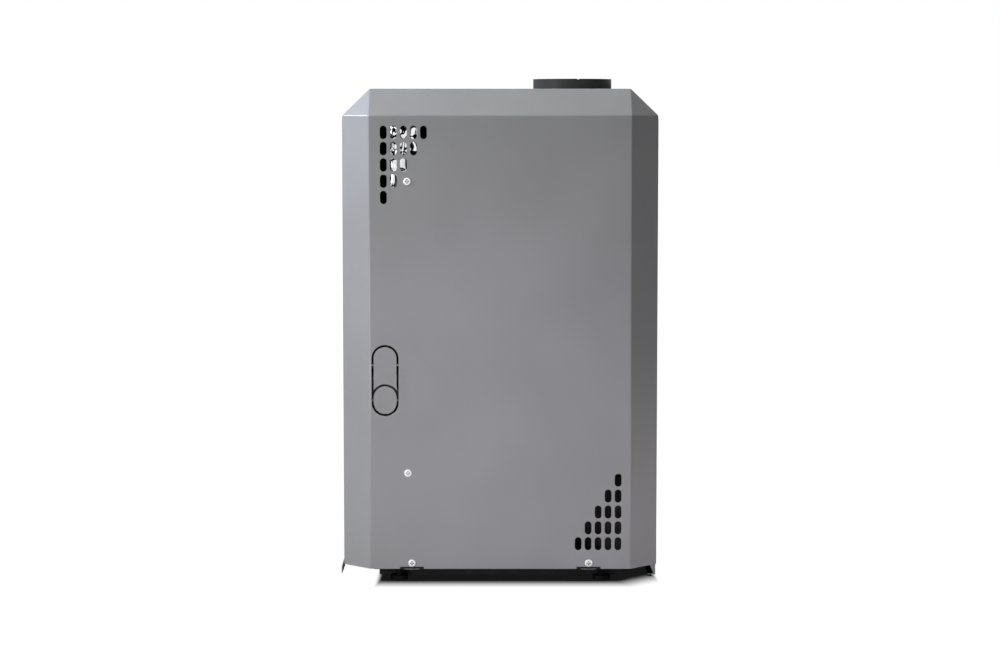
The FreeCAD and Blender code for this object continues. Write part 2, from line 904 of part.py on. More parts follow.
def tube_places():
    """Centres of the fire tubes, spread evenly over the firebox."""
    inner_x_size = 2 * (firebox_x - firebox_wall)
    inner_y_size = firebox_back - firebox_front - 2 * firebox_wall
    places = []
    for column in range(tube_columns):
        x = inner_x_size * ((column + 0.5) / tube_columns - 0.5)
        for row in range(tube_rows):
            y = firebox_front + firebox_wall + inner_y_size * (row + 0.5) / tube_rows
            places.append((x, y))
    return places


def exchanger_shell():
    """Outer wall of the water jacket, with holes for its sockets, pockets and drain."""
    x = exchanger_x
    wall = shell_wall
    outer = box(-x, x, exchanger_front, exchanger_back, exchanger_bottom, exchanger_top)
    y0 = exchanger_front + wall
    y1 = exchanger_back - wall
    cuts = [box(wall - x, x - wall, y0, y1, exchanger_bottom, exchanger_top)]
    for level in (flow_level, return_level):
        cuts.append(rod(0, exchanger_back - 2 * wall, level, socket_bore, 3 * wall, ALONG_Y))
    for pocket_x in (-pocket_spread, pocket_spread):
        cuts.append(rod(pocket_x, exchanger_front - wall, pocket_level, pocket_radius, 3 * wall, ALONG_Y))
    cuts.append(rod(drain_x, exchanger_front - wall, drain_level, drain_bore, 3 * wall, ALONG_Y))
    return drill(outer, cuts)


def exchanger_top_plate():
    """Tube plate on top of the water jacket."""
    x = exchanger_x
    plate = box(-x, x, exchanger_front, exchanger_back, exchanger_top, plate_top)
    start = exchanger_top - firebox_wall
    cuts = [rod(tx, ty, start, tube_radius, 3 * firebox_wall, ALONG_Z) for tx, ty in tube_places()]
    return drill(plate, cuts)


def firebox():
    """Inner walls round the flames and the crown plate with tube holes."""
    x = firebox_x
    wall = firebox_wall
    outer = box(-x, x, firebox_front, firebox_back, exchanger_bottom, crown_level + wall)
    y0 = firebox_front + wall
    y1 = firebox_back - wall
    cuts = [box(wall - x, x - wall, y0, y1, exchanger_bottom, crown_level)]
    for tx, ty in tube_places():
        cuts.append(rod(tx, ty, crown_level - wall, tube_radius, 3 * wall, ALONG_Z))
    return drill(outer, cuts)


def exchanger_bottom_ring():
    """Ring plate that closes the water jacket below."""
    x = exchanger_x - shell_wall
    front = exchanger_front + shell_wall
    back = exchanger_back - shell_wall
    top = exchanger_bottom + firebox_wall
    outer = box(-x, x, front, back, exchanger_bottom, top)
    return outer.cut(box(-firebox_x, firebox_x, firebox_front, firebox_back, exchanger_bottom, top))


def fire_tubes():
    """Tubes that carry the flue gas through the water."""
    length = plate_top - crown_level
    inner = tube_radius - tube_wall
    group = [pipe(x, y, crown_level, tube_radius, inner, length, ALONG_Z) for x, y in tube_places()]
    return Part.makeCompound(group)


def turbulators():
    """Waved strips that hang in the fire tubes by their top ends."""
    pitch = (plate_top - crown_level) / strip_waves
    line = []
    for index in range(strip_waves + 1):
        side = strip_wave if index % 2 else -strip_wave
        line.append((side, plate_top - index * pitch))
    outline = sheet_outline(line, strip_sheet)
    span = math.sqrt((tube_radius - tube_wall) ** 2 - (strip_wave + 2 * strip_sheet) ** 2)
    half = min(strip_width / 2, span - seat_gap)
    hanger = 2 * (tube_radius - tube_wall / 2)
    group = []
    for x, y in tube_places():
        strip = prism([(x - half, y + dy, z) for dy, z in outline], V(2 * half, 0, 0))
        bar = box(x - hanger / 2, x + hanger / 2, y - 2 * strip_wave, y, plate_top, plate_top + strip_sheet)
        group.append(join([strip, bar]))
    return Part.makeCompound(group)


def water_socket(level):
    """Threaded socket on the exchanger's rear wall, recessed behind the rear panel."""
    end = rear_face - socket_recess
    tube = pipe(0, exchanger_back, level, socket_radius, socket_bore, end - exchanger_back, ALONG_Y)
    thread = rod(0, end - socket_thread_length, level, socket_thread_radius, socket_thread_length, ALONG_Y)
    return tube.cut(thread)


def sensor_pockets():
    """Two pockets in the front wall for the thermostat and thermometer bulbs."""
    group = []
    for x in (-pocket_spread, pocket_spread):
        head = rod(x, exchanger_front - pocket_head, pocket_level, pocket_head_radius, pocket_head, ALONG_Y)
        body = rod(x, exchanger_front, pocket_level, pocket_radius, pocket_length, ALONG_Y)
        depth = pocket_head + pocket_length - pocket_radius
        bore = rod(x, exchanger_front - pocket_head, pocket_level, pocket_bore, depth, ALONG_Y)
        group.append(join([head, body]).cut(bore))
    return Part.makeCompound(group)


def bulb(x):
    """Sensor bulb inside one pocket."""
    length = pocket_head + pocket_length - 2 * pocket_radius
    return rod(x, exchanger_front - pocket_head, pocket_level, pocket_bore - seat_gap, length, ALONG_Y)


def thermostat_capillary():
    """Thermostat bulb and its thin tube to the top of the gas valve."""
    y = valve_back - valve_depth / 2
    mouth = exchanger_front - pocket_head
    x = pocket_spread
    route = [(x, y, valve_top), (x, y, pocket_level), (x, mouth, pocket_level)]
    return join([bent_rod(route, capillary_radius, capillary_bend), bulb(x)])


def thermometer_capillary():
    """Thermometer bulb and its thin tube up to the back of the gauge."""
    y = valve_back - valve_depth / 2
    mouth = exchanger_front - pocket_head
    back = panel_front + gauge_depth
    route = [
        (0, back, gauge_level),
        (0, y + capillary_bend, gauge_level),
        (-pocket_spread, y, gauge_level - 2 * pocket_spread),
        (-pocket_spread, y, pocket_level),
        (-pocket_spread, mouth, pocket_level),
    ]
    return join([bent_rod(route, capillary_radius, capillary_bend), bulb(-pocket_spread)])


def drain_bonnet_top():
    """Level of the drain cock's flat top, which its lever turns on."""
    return drain_level + drain_radius + drain_lever_sheet


def drain_cock():
    """Drain cock on the front wall, with a bonnet and a capped upright stem."""
    y = exchanger_front - drain_reach
    body = pipe(drain_x, y, drain_level, drain_radius, drain_bore, drain_reach, ALONG_Y)
    stem_y = exchanger_front - drain_stem_reach
    top = drain_bonnet_top()
    low = drain_level + drain_bore + (drain_radius - drain_bore) / 2
    bonnet = rod(drain_x, stem_y, low, 2 * drain_stem_radius, top - low, ALONG_Z)
    stem_length = drain_lever_sheet + 2 * hinge_play
    stem = rod(drain_x, stem_y, top, drain_stem_radius, stem_length, ALONG_Z)
    cap = rod(drain_x, stem_y, top + stem_length, drain_cap_radius, drain_cap, ALONG_Z)
    return join([body, bonnet, stem, cap])


def drain_lever():
    """Flat lever that turns on the drain cock's stem."""
    stem_y = exchanger_front - drain_stem_reach
    low = drain_bonnet_top() + hinge_play
    hub = rod(drain_x, stem_y, low, 2 * drain_stem_radius, drain_lever_sheet, ALONG_Z)
    half = drain_lever_width / 2
    end = drain_x + drain_lever_length - half
    arm = box(drain_x, end, stem_y - half, stem_y + half, low, low + drain_lever_sheet)
    tip = rod(end, stem_y, low, half, drain_lever_sheet, ALONG_Z)
    hole = rod(drain_x, stem_y, low, drain_stem_radius + drain_fit, drain_lever_sheet, ALONG_Z)
    return join([hub, arm, tip]).cut(hole)


def insulation_front():
    """Foil-faced slab in front of the exchanger and the diverter."""
    x = inner_x - post_depth - slab_post_gap
    top = shoulder_height - slab_top_drop
    return box(-x, x, slab_front - half_y, exchanger_front - seat_gap, slab_bottom, top)


def insulation_wrap():
    """Blanket round the sides and back of the exchanger."""
    x = exchanger_x + seat_gap
    y = exchanger_back + seat_gap
    low = exchanger_bottom + wrap_bottom_gap
    wide = x + wrap_thickness
    outer = box(-wide, wide, exchanger_front, y + wrap_thickness, low, exchanger_top)
    cuts = [box(-x, x, exchanger_front, y, low, exchanger_top)]
    for level in (flow_level, return_level):
        cuts.append(rod(0, exchanger_back, level, socket_radius + seat_gap, 2 * wrap_thickness, ALONG_Y))
    return drill(outer, cuts)


def stand_plate():
    """Right plate that carries the exchanger over the base, with an air window."""
    x = exchanger_x
    back = exchanger_back + stand_rear_reach
    plate = box(x - shell_wall, x, exchanger_front, back, base_top, exchanger_bottom)
    middle = (exchanger_front + exchanger_back) / 2
    low = base_top + stand_window_rise
    high = low + stand_window_height
    half = stand_window_width / 2
    return plate.cut(box(x - 2 * shell_wall, x + shell_wall, middle - half, middle + half, low, high))


def bar_places():
    """Middle of each burner bar across the firebox."""
    return [(index - (bar_count - 1) / 2) * bar_pitch for index in range(bar_count)]


def burner_bar(x):
    """Hollow burner bar with flame slots on top and a round mixing tube in front."""
    half = bar_width / 2
    wall = bar_wall
    top = bar_bottom + bar_height
    outer = box(x - half, x + half, bar_front, bar_back, bar_bottom, top)
    upper = [edge for edge in outer.Edges if edge.BoundBox.ZMin > top - wall]
    crest = [edge for edge in upper if edge.BoundBox.YLength > wall]
    outer = outer.makeFillet(half / 2, crest)
    inside = half - wall
    low = bar_bottom + wall
    room = box(x - inside, x + inside, bar_front + wall, bar_back - wall, low, top - half / 2)
    mixer = rod(x, exchanger_front, mixer_level, mixer_radius, bar_front_space + wall, ALONG_Y)
    bore = rod(x, exchanger_front, mixer_level, mixer_radius - wall, bar_front_space + 2 * wall, ALONG_Y)
    cuts = [room, bore]
    pitch = (bar_back - bar_front) / bar_slots
    reach = half - bar_slot_margin
    for index in range(bar_slots):
        y = bar_front + (index + 0.5) * pitch
        slot_y = y - bar_slot_width / 2
        cuts.append(box(x - reach, x + reach, slot_y, slot_y + bar_slot_width, top - half, top + wall))
    return drill(join([outer, mixer]), cuts)


def burner_rear_support():
    """Angle across the stand plates, under the rear ends of the burner bars."""
    x = exchanger_x - shell_wall
    y1 = bar_back + support_sheet
    shelf = box(-x, x, bar_back - support_depth, y1, bar_bottom - support_sheet, bar_bottom)
    back = box(-x, x, bar_back, y1, bar_bottom, bar_bottom + bar_height / 2)
    return join([shelf, back])


def burner_front_plate():
    """Plate below the exchanger with holes for the burners, pilot group and sight glass."""
    x = exchanger_x - shell_wall
    start = exchanger_front - sheet
    depth = front_plate_sheet + 2 * sheet
    plate = box(-x, x, exchanger_front, exchanger_front + front_plate_sheet, base_top, exchanger_bottom)
    cuts = [rod(bar_x, start, mixer_level, mixer_radius, depth, ALONG_Y) for bar_x in bar_places()]
    cuts.append(rod(sight_offset, start, sight_level, sight_radius, depth, ALONG_Y))
    cuts.append(rod(0, start, pilot_level, pilot_radius, depth, ALONG_Y))
    cuts.append(rod(pilot_spread, start, pilot_level, thermocouple_radius, depth, ALONG_Y))
    cuts.append(rod(-pilot_spread, start, pilot_level, electrode_radius, depth, ALONG_Y))
    return drill(plate, cuts)


def gas_manifold():
    """Square tube across the burners, with a hole for each injector and for the supply pipe."""
    half = bar_places()[-1] + manifold_end
    low = mixer_level - manifold_size / 2
    high = mixer_level + manifold_size / 2
    wall = manifold_wall
    outer = box(-half, half, manifold_front, manifold_back, low, high)
    y0 = manifold_front + wall
    y1 = manifold_back - wall
    cuts = [box(wall - half, half - wall, y0, y1, low + wall, high - wall)]
    for x in bar_places():
        cuts.append(rod(x, manifold_back - 2 * wall, mixer_level, nozzle_radius, 3 * wall, ALONG_Y))
    bore = supply_radius - supply_wall
    cuts.append(rod(supply_offset, manifold_front - wall, mixer_level, bore, 3 * wall, ALONG_Y))
    return drill(outer, cuts)


def injectors():
    """Brass injectors that aim the gas into the mixing tubes."""
    group = []
    for x in bar_places():
        body = rod(x, manifold_back, mixer_level, injector_radius, injector_length, ALONG_Y)
        tip = rod(x, manifold_back + injector_length, mixer_level, nozzle_radius, nozzle_length, ALONG_Y)
        length = injector_length + nozzle_length
        bore = rod(x, manifold_back, mixer_level, nozzle_radius / 3, length, ALONG_Y)
        group.append(join([body, tip]).cut(bore))
    return Part.makeCompound(group)


def gas_supply_pipe():
    """Bent pipe from the bottom of the gas valve to the manifold."""
    y = manifold_front - supply_bend - manifold_wall
    x = supply_offset
    route = [(x, y, valve_bottom), (x, y, mixer_level), (x, manifold_front, mixer_level)]
    outer = bent_rod(route, supply_radius, supply_bend)
    return outer.cut(bent_rod(route, supply_radius - supply_wall, supply_bend))


def gas_valve_body():
    """Gas valve block with a threaded inlet towards the knock-out and a bore for the spindle."""
    half = valve_width / 2
    block = box(-half, half, valve_front, valve_back, valve_bottom, valve_top)
    along = [edge for edge in block.Edges if edge.BoundBox.XLength > half]
    block = block.makeFillet(valve_edge, along)
    boss = rod(half, gas_y, gas_level, inlet_radius, inlet_reach, ALONG_X)
    end = half + inlet_reach
    start = end - inlet_thread_length
    thread = rod(start, gas_y, gas_level, inlet_thread_radius, inlet_thread_length, ALONG_X)
    depth = spindle_length - knob_length - knob_gap + spindle_end_gap + knob_wall
    bore = rod(knob_offset, valve_front, gas_level, spindle_radius + spindle_fit, depth, ALONG_Y)
    return drill(join([block, boss]), [thread, bore])


def valve_standoffs():
    """Two spacers that carry the gas valve on the exchanger's front wall."""
    group = []
    for x in (-standoff_spread, standoff_spread):
        group.append(rod(x, valve_back, gas_level, standoff_radius, valve_gap, ALONG_Y))
    return Part.makeCompound(group)


def gas_spindle():
    """Round spindle that turns in the gas valve and carries the knob."""
    start = knob_front + knob_wall + knob_travel + spindle_end_gap
    length = spindle_length - knob_wall - knob_travel
    return rod(knob_offset, start, gas_level, spindle_radius, length, ALONG_Y)


def gas_knob():
    """Round knob that slides on the spindle when it is pressed."""
    knob = rod(knob_offset, knob_front, gas_level, knob_radius, knob_length, ALONG_Y)
    knob = knob.makeFillet(knob_edge, [edge for edge in knob.Edges if edge.Closed])
    bore_start = knob_front + knob_wall
    bore = rod(knob_offset, bore_start, gas_level, spindle_radius + spindle_fit, knob_length, ALONG_Y)
    return knob.cut(bore)


def sight_glass():
    """Round glass over the sight hole."""
    y = exchanger_front - glass_thickness
    return rod(sight_offset, y, sight_level, sight_radius + glass_rim, glass_thickness, ALONG_Y)


def sight_cover():
    """Small plate that hangs over the sight glass and swings aside."""
    y = exchanger_front - glass_thickness - sight_cover_gap - sight_cover_sheet
    disc = rod(sight_offset, y, sight_level, sight_radius + sight_cover_margin, sight_cover_sheet, ALONG_Y)
    pivot = sight_level + sight_pivot_rise
    half = sight_arm_width / 2
    arm = box(sight_offset - half, sight_offset + half, y, y + sight_cover_sheet, sight_level, pivot)
    ear = rod(sight_offset, y, pivot, half, sight_cover_sheet, ALONG_Y)
    hole = rod(sight_offset, y, pivot, sight_pivot_radius + sight_pivot_fit, sight_cover_sheet, ALONG_Y)
    return join([disc, arm, ear]).cut(hole)


def sight_cover_pivot():
    """Headed pin on the front plate that the sight cover swings on."""
    pivot = sight_level + sight_pivot_rise
    cover_front = exchanger_front - glass_thickness - sight_cover_gap - sight_cover_sheet - hinge_play
    pin = rod(sight_offset, cover_front, pivot, sight_pivot_radius, exchanger_front - cover_front, ALONG_Y)
    head = rod(sight_offset, cover_front - sight_head, pivot, sight_head_radius, sight_head, ALONG_Y)
    return join([pin, head])


def pilot_burner():
    """Pilot burner through the front plate, with an upturned hood."""
    start = exchanger_front - pilot_front
    body = rod(0, start, pilot_level, pilot_radius, pilot_front + pilot_reach, ALONG_Y)
    hood_y = exchanger_front + pilot_reach
    low = pilot_level - pilot_hood_radius
    hood = rod(0, hood_y, low, pilot_hood_radius, pilot_hood_radius + pilot_hood, ALONG_Z)
    floor = pilot_level + bar_wall
    mouth = rod(0, hood_y, floor, pilot_hood_radius - bar_wall, pilot_hood, ALONG_Z)
    return join([body, hood]).cut(mouth)


def pilot_tube():
    """Thin gas tube from the bottom of the valve to the pilot burner."""
    y = valve_back - pilot_tube_back
    start = exchanger_front - pilot_front
    route = [(0, start, pilot_level), (0, y, pilot_level), (0, y, valve_bottom)]
    return bent_rod(route, pilot_tube_radius, pilot_tube_bend)


def thermocouple():
    """Thermocouple through the front plate, its nut and its lead to the valve."""
    x = pilot_spread
    nut_y = exchanger_front - thermocouple_nut
    nut = rod(x, nut_y, pilot_level, thermocouple_nut_radius, thermocouple_nut, ALONG_Y)
    probe = rod(x, exchanger_front, pilot_level, thermocouple_radius, thermocouple_reach, ALONG_Y)
    y = valve_back - lead_back
    route = [(x, nut_y, pilot_level), (x, y, pilot_level), (x, y, valve_bottom)]
    return join([nut, probe, bent_rod(route, lead_radius, pilot_tube_bend)])


def ignition_electrode():
    """Ceramic electrode through the front plate with its bare tip."""
    x = -pilot_spread
    start = exchanger_front - electrode_front
    ceramic = rod(x, start, pilot_level, electrode_radius, electrode_front + electrode_reach, ALONG_Y)
    tip_y = exchanger_front + electrode_reach
    tip = rod(x, tip_y, pilot_level, electrode_tip_radius, electrode_tip, ALONG_Y)
    return join([ceramic, tip])


def ignition_cable():
    """Cable from the electrode, past the left of the gas valve, up to the igniter."""
    start = exchanger_front - electrode_front
    back = panel_front + igniter_length - igniter_nut
    turn = start - 2 * cable_bend
    route = [
        (-pilot_spread, start, pilot_level),
        (-pilot_spread, turn, pilot_level),
        (igniter_offset, turn, pilot_level + 3 * cable_bend),
        (igniter_offset, turn, igniter_level),
        (igniter_offset, back, igniter_level),
    ]
    return bent_rod(route, cable_radius, cable_bend / 2)


def control_panel():
    """Bent panel behind the door rebates, with holes for the gauge and the igniter."""
    ear = face_x - panel_ear_gap
    wide = panel_half
    line = [
        (-ear, panel_back),
        (-wide, panel_back),
        (-wide, panel_front),
        (wide, panel_front),
        (wide, panel_back),
        (ear, panel_back),
    ]
    panel = bent_sheet(line, sheet, panel_top - panel_height, panel_top)
    start = panel_front - sheet
    cuts = [rod(0, start, gauge_level, gauge_radius, 3 * sheet, ALONG_Y)]
    cuts.append(rod(igniter_offset, start, igniter_level, igniter_radius, 3 * sheet, ALONG_Y))
    return drill(panel, cuts)


def dial_front():
    """Place of the dial's front face."""
    return panel_front + dial_drop


def thermometer_case():
    """Round gauge case with its bezel, dial plate and needle pin."""
    inner = gauge_radius - gauge_wall
    cup = rod(0, panel_front, gauge_level, gauge_radius, gauge_depth, ALONG_Y)
    room = rod(0, panel_front, gauge_level, inner, gauge_depth - gauge_wall, ALONG_Y)
    bezel = pipe(0, panel_front - bezel_depth, gauge_level, bezel_radius, inner, bezel_depth, ALONG_Y)
    middle = panel_front - bezel_depth / 2
    rim = [edge for edge in bezel.Edges if edge.Closed and edge.BoundBox.YMax < middle]
    bezel = bezel.makeFillet(gauge_wall / 2, rim)
    dial = rod(0, dial_front(), gauge_level, inner, dial_sheet, ALONG_Y)
    length = 2 * needle_gap + needle_sheet
    pin = rod(0, dial_front() - length, gauge_level, needle_pin_radius, length, ALONG_Y)
    return join([cup.cut(room), bezel, dial, pin])


def thermometer_glass():
    """Round glass inside the bezel."""
    y = panel_front - gauge_glass
    return rod(0, y, gauge_level, gauge_radius - gauge_wall, gauge_glass, ALONG_Y)


def thermometer_needle():
    """Needle that turns on the gauge's pin, pointing down to the left at rest."""
    y = dial_front() - needle_gap - needle_sheet
    half = needle_width / 2
    outline = [
        (-half, y, gauge_level + needle_tail),
        (half, y, gauge_level + needle_tail),
        (half, y, gauge_level - needle_tail),
        (0, y, gauge_level - needle_length),
        (-half, y, gauge_level - needle_tail),
    ]
    blade = prism(outline, V(0, needle_sheet, 0))
    hub = rod(0, y, gauge_level, needle_hub_radius, needle_sheet, ALONG_Y)
    hole = rod(0, y, gauge_level, needle_pin_radius + needle_pin_fit, needle_sheet, ALONG_Y)
    needle = join([blade, hub]).cut(hole)
    needle.rotate(V(0, y, gauge_level), ALONG_Y, needle_rest_angle)
    return needle


def igniter_body():
    """Igniter barrel through the control panel, with its front nut and a bore for the button."""
    front = panel_front - igniter_nut
    barrel = rod(igniter_offset, front, igniter_level, igniter_radius, igniter_length, ALONG_Y)
    nut = rod(igniter_offset, front, igniter_level, igniter_nut_radius, igniter_nut, ALONG_Y)
    depth = button_depth + button_travel + seat_gap
    bore = rod(igniter_offset, front, igniter_level, button_radius + button_fit, depth, ALONG_Y)
    return join([barrel, nut]).cut(bore)


def igniter_button():
    """Push button of the igniter."""
    front = panel_front - igniter_nut - button_proud
    button = rod(igniter_offset, front, igniter_level, button_radius, button_proud + button_depth, ALONG_Y)
    rim = [edge for edge in button.Edges if edge.Closed and edge.BoundBox.YMax < front + button_proud / 2]
    return button.makeFillet(button_proud / 3, rim)


def mirrored(shape):
    """The same piece for the left side."""
    return shape.mirror(V(0, 0, 0), ALONG_X)


cover = side_cover()
post = front_post()
stand = stand_plate()
nodes = {
    "base_frame": base_frame(),
    "feet": feet(),
    "right_post": post,
    "left_post": mirrored(post),
    "right_side_cover": cover.cut(knockout_cut()),
    "left_side_cover": mirrored(cover),
    "top_lid": top_lid(),
    "rear_panel": rear_panel(),
    "side_cover_screws": side_cover_screws(),
    "rear_panel_screws": rear_panel_screws(),
    "front_door": front_door(),
    "door_hinge_brackets": door_hinge_brackets(),
    "door_hinge_pins": door_hinge_pins(),
    "door_magnet": door_magnet(),
    "flue_socket": flue_socket(),
    "draught_diverter": draught_diverter(),
    "diverter_baffle": diverter_baffle(),
    "exchanger_shell": exchanger_shell(),
    "exchanger_top_plate": exchanger_top_plate(),
    "firebox": firebox(),
    "exchanger_bottom_ring": exchanger_bottom_ring(),
    "fire_tubes": fire_tubes(),
    "turbulators": turbulators(),
    "flow_socket": water_socket(flow_level),
    "return_socket": water_socket(return_level),
    "sensor_pockets": sensor_pockets(),
    "thermostat_capillary": thermostat_capillary(),
    "thermometer_capillary": thermometer_capillary(),
    "drain_cock": drain_cock(),
    "drain_lever": drain_lever(),
    "insulation_front": insulation_front(),
    "insulation_wrap": insulation_wrap(),
    "right_stand_plate": stand,
    "left_stand_plate": mirrored(stand),
    "burner_bars": Part.makeCompound([burner_bar(x) for x in bar_places()]),
    "burner_rear_support": burner_rear_support(),
    "burner_front_plate": burner_front_plate(),
    "gas_manifold": gas_manifold(),
    "injectors": injectors(),
    "gas_supply_pipe": gas_supply_pipe(),
    "gas_valve_body": gas_valve_body(),
    "valve_standoffs": valve_standoffs(),
    "gas_spindle": gas_spindle(),
    "gas_knob": gas_knob(),
    "sight_glass": sight_glass(),
    "sight_cover": sight_cover(),
    "sight_cover_pivot": sight_cover_pivot(),
    "pilot_burner": pilot_burner(),
    "pilot_tube": pilot_tube(),
    "thermocouple": thermocouple(),
    "ignition_electrode": ignition_electrode(),
    "ignition_cable": ignition_cable(),
    "control_panel": control_panel(),
    "thermometer_case": thermometer_case(),
    "thermometer_glass": thermometer_glass(),
    "thermometer_needle": thermometer_needle(),
    "igniter_body": igniter_body(),
    "igniter_button": igniter_button(),
}

os.makedirs("parts", exist_ok=True)
for name, shape in nodes.items():
    shape.exportStep("parts/%s.step" % name)
    print(name, len(shape.Solids), round(shape.Volume), shape.isValid())
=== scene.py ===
"""Looks of a floor-standing gas boiler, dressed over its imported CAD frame.

Every length is in metres, in the frame of the CAD model: X runs to the boiler's right-hand
side, Y to its rear and Z up. The camera stands on the right-hand side.
"""
from __future__ import annotations

import json
import logging
import math
from dataclasses import dataclass, field
from enum import Enum
from typing import ClassVar, Iterable, Mapping, Sequence, Union

import bmesh
import bpy
import numpy as np
from mathutils import Matrix, Vector
from mathutils.kdtree import KDTree

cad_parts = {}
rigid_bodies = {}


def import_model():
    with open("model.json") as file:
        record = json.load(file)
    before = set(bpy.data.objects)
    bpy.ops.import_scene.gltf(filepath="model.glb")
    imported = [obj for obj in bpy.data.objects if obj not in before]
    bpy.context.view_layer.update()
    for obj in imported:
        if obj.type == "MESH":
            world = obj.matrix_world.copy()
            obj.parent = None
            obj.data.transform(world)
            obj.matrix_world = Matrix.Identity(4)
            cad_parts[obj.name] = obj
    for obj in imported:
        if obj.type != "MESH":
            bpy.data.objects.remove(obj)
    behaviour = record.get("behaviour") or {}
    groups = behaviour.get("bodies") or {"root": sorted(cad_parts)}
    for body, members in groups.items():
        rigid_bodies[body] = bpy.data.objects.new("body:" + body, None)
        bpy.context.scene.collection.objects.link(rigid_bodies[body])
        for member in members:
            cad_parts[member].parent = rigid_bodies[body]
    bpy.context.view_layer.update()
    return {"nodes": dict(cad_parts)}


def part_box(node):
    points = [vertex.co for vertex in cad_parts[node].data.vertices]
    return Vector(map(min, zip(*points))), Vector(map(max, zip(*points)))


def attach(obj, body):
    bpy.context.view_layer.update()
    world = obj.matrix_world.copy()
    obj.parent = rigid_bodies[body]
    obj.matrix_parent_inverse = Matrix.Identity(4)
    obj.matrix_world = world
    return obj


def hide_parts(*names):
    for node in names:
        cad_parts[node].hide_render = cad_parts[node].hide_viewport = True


LOG = logging.getLogger("boiler")


def clear_startup() -> None:
    """Removes the objects that a new Blender file starts with."""
    for leftover in list(bpy.data.objects):
        bpy.data.objects.remove(leftover)


clear_startup()
frame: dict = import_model()

Colour = tuple[float, float, float]
Spot = tuple[float, float, float]
Limits = tuple[float, float]
Point = Sequence[float]
Operand = Union["Signal", float]
SocketValue = Union["Signal", float, Sequence[float]]
Coats = dict["Finish", Sequence[str]]

EVEN: Spot = (1.0, 1.0, 1.0)
WHITE: Colour = (1.0, 1.0, 1.0)


class Body(Enum):
    """The moving groups that a piece can ride on."""

    CASING = "casing"
    KNOB = "knob"


class Slot(Enum):
    """Names of the record's material slots."""

    FOIL = "foil"
    WOOL = "wool"
    BLACK_PLASTIC = "black_plastic"
    NEEDLE_PAINT = "needle_paint"
    WHITE_CERAMIC = "white_ceramic"
    BRASS = "brass"
    ZINC_STEEL = "zinc_steel"


# Shader graphs


@dataclass(frozen=True)
class Grain:
    """A soft noise over a surface.

    Attributes:
        scale: Waves per metre.
        detail: How many finer layers are added.
        stretch: Factor along each axis; a small one draws the noise out.
        twist: How far the noise is bent by itself.
        limits: Values that are stretched to 0 and 1, or None to leave the noise as it is.
    """

    scale: float
    detail: float = 2.0
    stretch: Spot = EVEN
    twist: float = 0.0
    limits: Limits | None = None


@dataclass(frozen=True)
class Relief:
    """Fine relief: its noise, the share of it that is used and the height of a full step."""

    grain: Grain
    share: float
    depth: float


class Signal:
    """One output socket of a node, usable in Python expressions on values."""

    def __init__(self, graph: Graph, socket: bpy.types.NodeSocket) -> None:
        """Keeps the socket and the graph that it belongs to."""
        self.graph = graph
        self.socket = socket

    def twin(self, name: str) -> Signal:
        """Another output of the same node."""
        return Signal(self.graph, self.socket.node.outputs[name])

    def _math(self, operation: str, first: Operand, second: Operand) -> Signal:
        """One Math node on two values."""
        return self.graph.node("ShaderNodeMath", {"operation": operation}, {0: first, 1: second})

    def __add__(self, other: Operand) -> Signal:
        """Sum of two values."""
        return self._math("ADD", self, other)

    def __radd__(self, other: Operand) -> Signal:
        """Sum with a number on the left."""
        return self._math("ADD", other, self)

    def __sub__(self, other: Operand) -> Signal:
        """Difference of two values."""
        return self._math("SUBTRACT", self, other)

    def __rsub__(self, other: Operand) -> Signal:
        """Difference with a number on the left."""
        return self._math("SUBTRACT", other, self)

    def __mul__(self, other: Operand) -> Signal:
        """Product of two values."""
        return self._math("MULTIPLY", self, other)

    def __rmul__(self, other: Operand) -> Signal:
        """Product with a number on the left."""
        return self._math("MULTIPLY", other, self)

    def __or__(self, other: Operand) -> Signal:
        """The larger of two values."""
        return self._math("MAXIMUM", self, other)

    def __and__(self, other: Operand) -> Signal:
        """The smaller of two values."""
        return self._math("MINIMUM", self, other)


